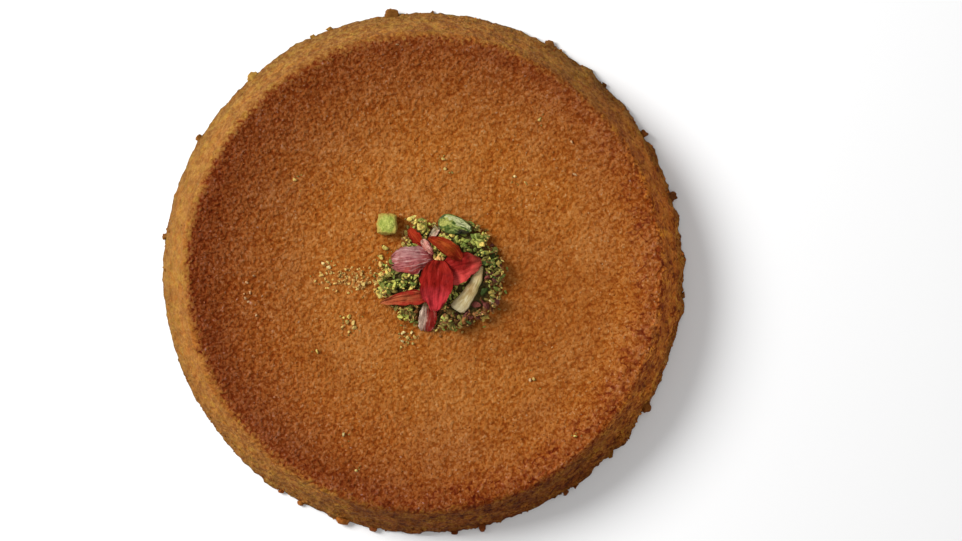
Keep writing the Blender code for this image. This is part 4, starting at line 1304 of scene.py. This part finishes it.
def slice_material(name):
    """Green kernel: a streaky cut face, pale along its far edge partly as a painted highlight, with painted
    shade and a painted shadow along its near edge, and a dark ridged side.
    """
    material, graph, place = new_material(name, 0.5, 0.2)
    along, across, is_cut = graph.attribute("leaf").parts()
    wander = graph.noise(place, 0.3, detail=3.0)
    lines = graph.streaks(along * 5.0, across * 11.0)
    face = lines.ramp(*SLICE_TONES)
    face = face.mix(SLICE_LEFT, along.fade(-0.34, 0.02, 0.8))
    face = face.tint(SLICE_HOLLOW, graph.noise(place, 0.42).fit(0.5, 0.6, 0.0, 0.9))
    # Painted shade along the lower edge.
    under = along * -0.3 + (wander * 0.3 + across)
    face = face.tint(SLICE_UNDER_SHADE, under.fade(-0.30, -0.08, 0.9))
    # The pale far edge, partly a painted highlight.
    far = along * 0.35 + (wander * 1.1 + (across - 0.55))
    face = face.mix(SLICE_PALE_EDGE_AND_HIGHLIGHT, far.fit(0.02, 0.14) * lines.fit(0.38, 0.54, 0.25, 1.0))
    # A painted shadow along the lower side of the right part.
    shadow_side = wander * 0.3 + (across - 0.15)
    face = face.tint(SLICE_SHADOW, shadow_side.fade(-0.18, -0.09) * along.fit(0.02, 0.16))
    skin = graph.noise(place, 0.5, detail=3.0).ramp(*SLICE_SKIN)
    colour = skin.mix(face, is_cut.fit(0.3, 0.7))
    finish_material(graph, colour, lines + graph.noise(place, 1.4, detail=3.0), 0.5 * MM, 0.8)
    return material


def sliver_material(name):
    """Blanched nut, cream at its blunt end, tan down its left side and greenish down its right."""
    material, graph, place = new_material(name, 0.5, 0.2)
    along, across, _ = graph.attribute("leaf").parts()
    lines = graph.streaks(along * 5.0, across * 3.0, detail=4.0, roughness=0.55)
    colour = lines.ramp(*SLIVER_TONES)
    colour = colour.mix(SLIVER_BLUNT_END, along.fit(0.3, 0.0, 0.0, 0.55))
    colour = colour.mix(SLIVER_RIGHT, across.fade(-0.9, -0.1, 0.75) * along.fit(0.35, 0.6))
    colour = colour.mix(SLIVER_LEFT, across.fit(0.35, 0.95, 0.0, 0.6))
    colour = colour.tint(SLIVER_TANNED, along.fit(0.34, 0.44) * along.fade(0.58, 0.68))
    # The far end lighter, partly painted light under the petal's shade.
    colour = colour.mix(SLIVER_FAR_END, along.fit(0.64, 0.84, 0.0, 0.85))
    finish_material(graph, colour, lines + graph.noise(place, 1.5, detail=3.0), 0.35 * MM, 0.6)
    return material


def petal_material(name, look):
    """A dried petal: its colour runs across it and to its tip, over fine darker veins."""
    material, graph, place = new_material(name + "_look", 0.55, 0.03)
    along, across, _ = graph.attribute("leaf").parts()
    wander = graph.noise(place, 0.22, detail=3.0)
    band = wander * 0.7 + (across.fit(-1.0, 1.0, 0.0, 1.0, "LINEAR") - 0.35)
    colour = band.ramp(*zip(look.bands, (look.right, look.middle, look.left)))
    reached = wander * 0.4 + (along - 0.2)
    colour = colour.mix(look.root, reached.fade(0.08, 0.4, 0.9))
    colour = colour.mix(look.end, reached.fit(look.turns, look.turns + 0.33, 0.0, 0.9))
    spread = along.fit(0.0, 1.0, 11.0, 5.0, "LINEAR")
    lines = graph.streaks(along * 3.0, across * spread, look.vein[0] * 50, roughness=0.55)
    # Pale streaks, partly a painted sheen, then the darker veins.
    colour = colour.mix(look.pale, lines.fade(0.36, 0.46, look.streaks))
    colour = colour.mix(look.vein, lines.fit(0.52, 0.64, 0.0, look.veins))
    blotch = graph.noise(place, 0.45, detail=3.0).fit(0.5, 0.66, 0.0, look.blotches)
    colour = colour.tint(PETAL_BLOTCH, blotch)
    finish_material(graph, colour, graph.noise(place, 1.1, detail=3.0) - lines, 0.4 * MM, 0.7)
    return material


# What lies on the crust


def hit_below(tree, x, y):
    """The first point of the tree straight below the spot, or None."""
    return tree.ray_cast(Vector((x, y, 2 * RIM_HEIGHT)), DOWN)[0]


def tree_of(obj):
    return BVHTree.FromObject(obj, bpy.context.evaluated_depsgraph_get())


class Ground:
    """Heights of what is already there, on a fine grid, which each new crumb adds to.

    The blockers are what a crumb may not poke through from below.
    """

    def __init__(self, objects, blockers):
        self.trees = [tree_of(obj) for obj in objects]
        self.blockers = [tree_of(obj) for obj in blockers]
        self.corner = np.array(GRID_CENTRE) - GRID_HALF
        self.size = int(2 * GRID_HALF / GRID_STEP) + 1
        self.level = np.zeros((self.size, self.size))
        for i in range(self.size):
            for j in range(self.size):
                self.level[i, j] = self.below(*(self.corner + np.array((i, j)) * GRID_STEP))

    def below(self, x, y):
        hits = [hit_below(tree, x, y) for tree in self.trees]
        return max([hit.z for hit in hits if hit] + [0.0])

    def patch(self, x, y, radius):
        """The grid's cells within the radius of the spot, and their distances from it."""
        middle = (np.array((x, y)) - GRID_CENTRE + GRID_HALF) / GRID_STEP
        reach = int(radius / GRID_STEP) + 1
        low = np.maximum(np.round(middle).astype(int) - reach, 0)
        high = np.minimum(np.round(middle).astype(int) + reach + 1, self.size)
        i, j = np.meshgrid(np.arange(low[0], high[0]), np.arange(low[1], high[1]), indexing="ij")
        far = np.hypot(i - middle[0], j - middle[1]) * GRID_STEP
        inside = far <= radius
        return i[inside], j[inside], far[inside]

    def rest(self, x, y, radius):
        """The height that a crumb of this radius comes to rest at."""
        i, j, _ = self.patch(x, y, 0.7 * radius)
        return float(np.percentile(self.level[i, j], 60)) if len(i) else self.below(x, y)

    def cover(self, x, y, radius, top):
        """Raises the ground by a crumb's dome."""
        i, j, far = self.patch(x, y, radius)
        if len(i):
            dome = top - 0.6 * radius * (far / radius) ** 2
            self.level[i, j] = np.maximum(self.level[i, j], dome)

    def clear_above(self, spot, radius, top):
        """True if no blocker hangs lower than the top over the spot or beside it."""
        for dx, dy in ((0, 0), (1, 0), (-1, 0), (0, 1), (0, -1)):
            for tree in self.blockers:
                hit = hit_below(tree, spot.x + dx * radius, spot.y + dy * radius)
                if hit is not None and hit.z < top + CLEARANCE:
                    return False
        return True

    def add_chip(self, batch, x, y, size, paint, draw, sink=CHIP_SINK):
        """Lets one broken piece down at the spot, unless something already hangs over it."""
        radius = max(size[0], size[1]) / 2
        if any(math.hypot(x - bare_x, y - bare_y) < bare + radius / 2 for bare_x, bare_y, bare in BARE):
            return
        base = self.rest(x, y, radius)
        top = base + size[2] * (1 - sink)
        spot = Vector((x, y, top - size[2] / 2))
        if not self.clear_above(spot, radius, top):
            return
        turn = turn_about("Z", draw.uniform(0, math.tau)) @ turn_about("X", draw.normal() * CHIP_TILT)
        if heap_height(x, y) > 0 and base < FLOOR + heap_height(x, y) + SHADE_LEVEL:
            paint = tuple(channel * IN_SHADE for channel in paint)
        batch.add(int(draw.integers(1000)), placed_at(spot, turn, size), tinted(paint, draw))
        self.cover(x, y, radius, top)


# The plain chunks stay bare: (x, y, radius).
BARE = [(x * MM, y * MM, BARE_SHARE * width * MM) for x, y, _, width, _, nut in HEAP_CHUNKS if nut in PLAIN]


def any_of(names, draw):
    """One of the named colours of nut, each as likely as it is often named."""
    return NUTS[names[int(draw.integers(len(names)))]]


def heap_paint(x, y, draw):
    """The colour of a crumb of the heap by where it lies, x and y in mm."""
    for low_x, high_x, low_y, high_y, names in HEAP_REGIONS:
        if low_x < x < high_x and low_y < y < high_y:
            return any_of(names, draw)
    return NUTS["olive"]


def heap_spot(angle, reach):
    return HEAP_CENTRE.x + reach * math.cos(angle), HEAP_CENTRE.y + reach * math.sin(angle)


def drawn_size(size, draw, *spans):
    return tuple(size * draw.uniform(*span) for span in spans)


def chip_size(size, draw):
    """Length, width and height of a long chip."""
    return drawn_size(size, draw, (1.0, 1.55), (0.55, 0.9), (0.5, 0.75))


def crumb_size(size, draw):
    """Length, width and height of a rounder crumb."""
    return drawn_size(size, draw, (0.85, 1.2), (0.7, 1.0), (0.55, 0.8))


def add_cluster(batch, ground, chunk, draw):
    """A chunk of chopped nut: a broken body with crumbs of its own colour and others all over it."""
    x, y, length, width, turn, nut = chunk
    size = np.array((length, width, CHUNK_HEIGHT * width)) * MM
    level = max(FLOOR + GAP + 0.45 * size[2], FLOOR + heap_height(x * MM, y * MM) + 0.1 * size[2])
    spot = Vector((x * MM, y * MM, level))
    place = placed_at(spot, turn_about("Z", math.radians(turn)), size * CLUSTER_BODY)
    batch.add(int(draw.integers(BODY_SHAPES)), place, tinted(NUTS[nut], draw))
    ground.cover(spot.x, spot.y, width * MM / 2, spot.z + CLUSTER_BODY * size[2] / 2)
    if nut in PLAIN:
        return
    for _ in range(round(CLUSTER_COVER * math.pi * size[0] * size[1] / 4 / CLUSTER_PITCH**2)):
        facing = Vector(draw.normal(size=3))
        facing.z = abs(facing.z)
        facing.normalize()
        crumb = chip_size(draw.uniform(*CLUSTER_SIZES), draw)
        on_body = place @ (facing * CLUSTER_SKIN)
        radius = crumb[0] / 2
        paint = NUTS[nut] if draw.random() < OWN_COLOUR else heap_paint(x, y, draw)
        shape, any_way = BODY_SHAPES + int(draw.integers(CRUMB_SHAPES)), any_turn(draw)
        if ground.clear_above(on_body, radius, on_body.z + radius):
            batch.add(shape, placed_at(on_body, any_way, crumb), tinted(paint, draw))


def scattered(draw, spread, inside):
    """How far past the heap's edge a crumb lands, from a little inside it outwards."""
    return (abs(draw.normal()) * spread - inside) * MM


def make_chips(ground):
    """The chopped nut of the heap: its large chunks, then its chips and those round its edge."""
    draw = draws("chips")
    coarse = Batch(broken(BODY_SHAPES, 3, 7, draw, 0.09) + broken(CRUMB_SHAPES, 2, 5, draw, 0.07))
    chips = Batch(broken(24, 2, 6, draw))
    for chunk in HEAP_CHUNKS:
        add_cluster(coarse, ground, chunk, draw)
    for _ in range(CHIP_COUNT):
        angle = draw.uniform(0, math.tau)
        x, y = heap_spot(angle, heap_reach(angle) * draw.random() ** 0.45)
        size = chip_size(draw.uniform(*CHIP_SIZES), draw)
        ground.add_chip(chips, x, y, size, heap_paint(x / MM, y / MM, draw), draw)
    for _ in range(EDGE_COUNT):
        angle = draw.uniform(0, math.tau)
        x, y = heap_spot(angle, heap_reach(angle) + scattered(draw, *EDGE_SCATTER))
        size = chip_size(draw.uniform(*EDGE_SIZES), draw)
        ground.add_chip(chips, x, y, size, any_of(LOOSE, draw), draw)
    return coarse, chips


def add_middle_crumb(batch):
    """The pale crumb of several grains that sits between the petals on the top of the heap."""
    draw = draws("middle")
    for x, y, size, paint in MIDDLE_CRUMB:
        level = FLOOR + heap_height(x * MM, y * MM) + MIDDLE_RISE
        spot = Vector((x * MM, y * MM, level))
        shape = int(draw.integers(1000))
        batch.add(shape, placed_at(spot, any_turn(draw), (size * MM,) * 3), tinted(paint, draw))


def make_dust(ground):
    """Fine crumbs of nut over the heap, round it and in the spill beside it."""
    draw = draws("dust")
    dust = Batch(broken(16, 1, 3, draw, 0.03))
    for _ in range(DUST_COUNT):
        angle = draw.uniform(0, math.tau)
        reach = heap_reach(angle) * draw.random() ** 0.5 + scattered(draw, *DUST_SCATTER)
        x, y = heap_spot(angle, reach)
        size = chip_size(draw.uniform(*DUST_SIZES), draw)
        outside = reach > LOOSE_FROM * heap_reach(angle)
        paint = any_of(LOOSE, draw) if outside else heap_paint(x / MM, y / MM, draw)
        ground.add_chip(dust, x, y, size, paint, draw)
    for _ in range(SPILL_COUNT):
        x = SPILL_CENTRE.x + draw.normal() * SPILL_SPREAD.x
        y = SPILL_CENTRE.y + draw.normal() * SPILL_SPREAD.y
        size = crumb_size(draw.uniform(*SPILL_SIZES), draw)
        ground.add_chip(dust, x, y, size, any_of(SPILT, draw), draw, SPILL_SINK)
    return dust


def make_fallen(crust, material):
    """The single crumbs of nut that lie apart, each with a few specks round it."""
    draw = draws("fallen")
    fallen = Batch(broken(10, 2, 6, draw))
    tree = tree_of(crust)
    spots = []
    for x, y, size in FALLEN_CRUMBS:
        spots.append((x, y, size, any_of(FALLEN, draw)))
        for _ in range(SPECKS):
            off = draw.normal(size=2) * SPECK_SPREAD
            spots.append((x + off[0], y + off[1], draw.uniform(*SPECK_SIZES), NUTS["olive"]))
    for x, y, size, paint in spots:
        size = crumb_size(size * MM, draw)
        spot = hit_below(tree, x * MM, y * MM) + Vector((0, 0, FALLEN_RISE * size[2]))
        place = placed_at(spot, turn_about("Z", draw.uniform(0, math.tau)), size)
        fallen.add(int(draw.integers(1000)), place, tinted(paint, draw))
    return fallen.piece("fallen_nut", material)


def make_crumbs(crust, material):
    """Loose grains of crust on the top, some of them pale."""
    draw = draws("crumbs")
    crumbs = Batch(broken(20, 1, 3, draw, 0.04))
    tree = tree_of(crust)

    def add_crumb(x, y, size, paint):
        spot = hit_below(tree, x, y) + Vector((0, 0, CRUMB_SINK * size[2]))
        shape = int(draw.integers(1000))
        crumbs.add(shape, placed_at(spot, any_turn(draw), size), tinted(paint, draw))

    for _ in range(CRUMB_COUNT):
        angle, radius = draw.uniform(0, math.tau), RIM_RADIUS * math.sqrt(draw.random())
        x, y = radius * math.cos(angle), radius * math.sin(angle)
        from_heap = (Vector((x, y)) - HEAP_CENTRE).length
        if from_heap < heap_reach(math.atan2(y - HEAP_CENTRE.y, x - HEAP_CENTRE.x)):
            continue
        size = chip_size(draw.uniform(*CRUMB_SIZES), draw)
        lot = draw.random()
        far = math.hypot(x / MM - BROWN_CENTRE[0], y / MM - BROWN_CENTRE[1])
        share = min(1.0, max(0.0, (far - BROWN_RANGE[0]) / (BROWN_RANGE[1] - BROWN_RANGE[0])))
        paint = PALE_CRUST if lot < PALE_SHARE else (LIGHT_CRUST if lot < NOT_DARK_SHARE else DARK_CRUST)
        add_crumb(x, y, size, toned(paint, BROWNED, share))
    for x, y, size in PALE_CRUMBS:
        add_crumb(x * MM, y * MM, chip_size(size * MM, draw), PALE_CRUST)
    return crumbs.piece("crust_crumbs", material)


def make_crags(material):
    """Lumps and crumbs of crust stuck to the foot of the wall, most on the ragged side."""
    draw = draws("crags")
    crags = Batch(broken(CRAG_SHAPES, 3, 3, draw, 0.14) + broken(MORE_SHAPES, 2, 4, draw, 0.08))
    lumps = [(math.radians(angle), size * MM, width) for angle, size, width in CRAGS]
    for count, least, most, smooth_share, power in MORE_CRAGS:
        wanted = len(lumps) + count
        while len(lumps) < wanted:
            angle = draw.uniform(0, math.tau)
            turned = turned_to(angle, RAGGED_SIDE) ** power
            if draw.random() < smooth_share + (1 - smooth_share) * turned:
                lumps.append((angle, draw.uniform(least, most) * MM, 0))
    for angle, size, width in lumps:
        if size > LARGE_CRAG:
            level = size * draw.uniform(*LARGE_LEVELS)
        else:
            level = abs(draw.normal()) * SMALL_LEVELS * MM + 0.5 * size
        level = CRAG_LEVEL * size if width else min(level, RIM_HEIGHT * MOST_LEVEL)
        radius = BASE_RADIUS - level * math.tan(wall_lean()) + CRAG_OUT * (size if width else -size)
        radius += frayed_radius(angle, level / RIM_HEIGHT)
        spot = Vector((radius * math.cos(angle), radius * math.sin(angle), level))
        sizes = drawn_size(size, draw, *MORE_SIZES)
        shape = int(draw.integers(CRAG_SHAPES)) if width else CRAG_SHAPES + int(draw.integers(MORE_SHAPES))
        paint = WALL_TONES[int(draw.integers(3)) + (1 if width else 0)]
        # Painted light and shade by the way each lump faces, as on the wall, and more painted shade on the
        # large ones.
        tints = [(*tint, WALL_PAINTED_FULL) for tint in WALL_PAINTED_LIGHT_AND_SHADE]
        if width:
            tints += [(*tint, CRAG_SHADE_FULL) for tint in CRAG_PAINTED_SHADE]
        for degrees, start, tint, full in tints:
            share = float(between(math.cos(angle - math.radians(degrees)), start, full))
            paint = toned(paint, tint, share)
        way = any_turn(draw)
        if width:
            sizes = (size * CRAG_DEPTH, size * width, size * CRAG_DEPTH)
            way = turn_about("Z", angle) @ turn_about("X", draw.normal() * CRAG_TILT)
        crags.add(shape, placed_at(spot, way, sizes), tinted(paint, draw))
    return crags.piece("crust_crags", material)


# The scene itself


def make_stage():
    material = new_material("studio_floor", 0.9, 0.5)[0]
    material.node_tree.nodes["Principled BSDF"].inputs["Base Color"].default_value = (*FLOOR_COLOUR, 1)
    half = FLOOR_SIZE / 2
    data = bpy.data.meshes.new("floor")
    corners = [(x * half, y * half, -FLOOR_DROP) for x, y in ((-1, -1), (1, -1), (1, 1), (-1, 1))]
    data.from_pydata(corners, [], [(0, 1, 2, 3)])
    data.materials.append(material)
    add_object("floor", data)
    world = bpy.data.worlds.new("surround")
    world.use_nodes = True
    world.node_tree.nodes["Background"].inputs["Strength"].default_value = SURROUND
    world.node_tree.nodes["Background"].inputs["Color"].default_value = (1, 1, 1, 1)
    bpy.context.scene.world = world


def make_light():
    lamp = bpy.data.lights.new("key", "AREA")
    lamp.shape = "DISK"
    lamp.size = KEY_SIZE
    lamp.energy = KEY_POWER
    key = add_object("key", lamp)
    flat = KEY_DISTANCE * math.cos(KEY_ELEVATION)
    height = KEY_DISTANCE * math.sin(KEY_ELEVATION)
    key.location = (flat * math.cos(KEY_AZIMUTH), flat * math.sin(KEY_AZIMUTH), height)
    key.rotation_euler = (-key.location).to_track_quat("-Z", "Y").to_euler()


def make_camera():
    camera = add_object("camera", bpy.data.cameras.new("camera"))
    camera.data.lens = CAMERA_LENS
    camera.data.sensor_width = CAMERA_SENSOR
    camera.data.shift_x, camera.data.shift_y = CAMERA_SHIFT
    camera.location = (0, 0, CAMERA_HEIGHT)
    bpy.context.scene.camera = camera
    bpy.context.scene.view_settings.view_transform = "Standard"


def belongs(obj, node):
    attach(obj, "root")
    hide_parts(node)
    return obj


make_stage()
make_light()
make_camera()
crust_top, crust_side = make_crust(crust_material("crust_look"))
nut_look = nut_material("nut_look")
crumb_look = crumb_material("crumb_look")
core = make_core(nut_look)

toppings = []
for petal_name, petal_shape in PETALS.items():
    toppings.append(belongs(make_petal(petal_name, petal_shape), petal_name))
toppings += [
    belongs(make_sliver(sliver_material("sliver_look")), "nut_sliver"),
    belongs(make_slice(slice_material("slice_look")), "pistachio_slice"),
    belongs(make_chunk(chunk_material("chunk_look")), "pistachio_chunk"),
]

bpy.context.view_layer.update()
ground = Ground([crust_top, core], toppings)
coarse_chips, small_chips = make_chips(ground)
add_middle_crumb(small_chips)
nut_dust = make_dust(ground)

belongs(crust_top, "kunafa")
belongs(crust_side, "kunafa")
belongs(make_crags(crumb_look), "kunafa")
belongs(make_crumbs(crust_top, crumb_look), "kunafa")
belongs(make_fallen(crust_top, nut_look), "kunafa")
belongs(core, "pistachio_heap")
belongs(coarse_chips.piece("heap_chunks", nut_look), "pistachio_heap")
belongs(small_chips.piece("heap_chips", nut_look), "pistachio_heap")
belongs(nut_dust.piece("heap_dust", nut_look), "pistachio_heap")
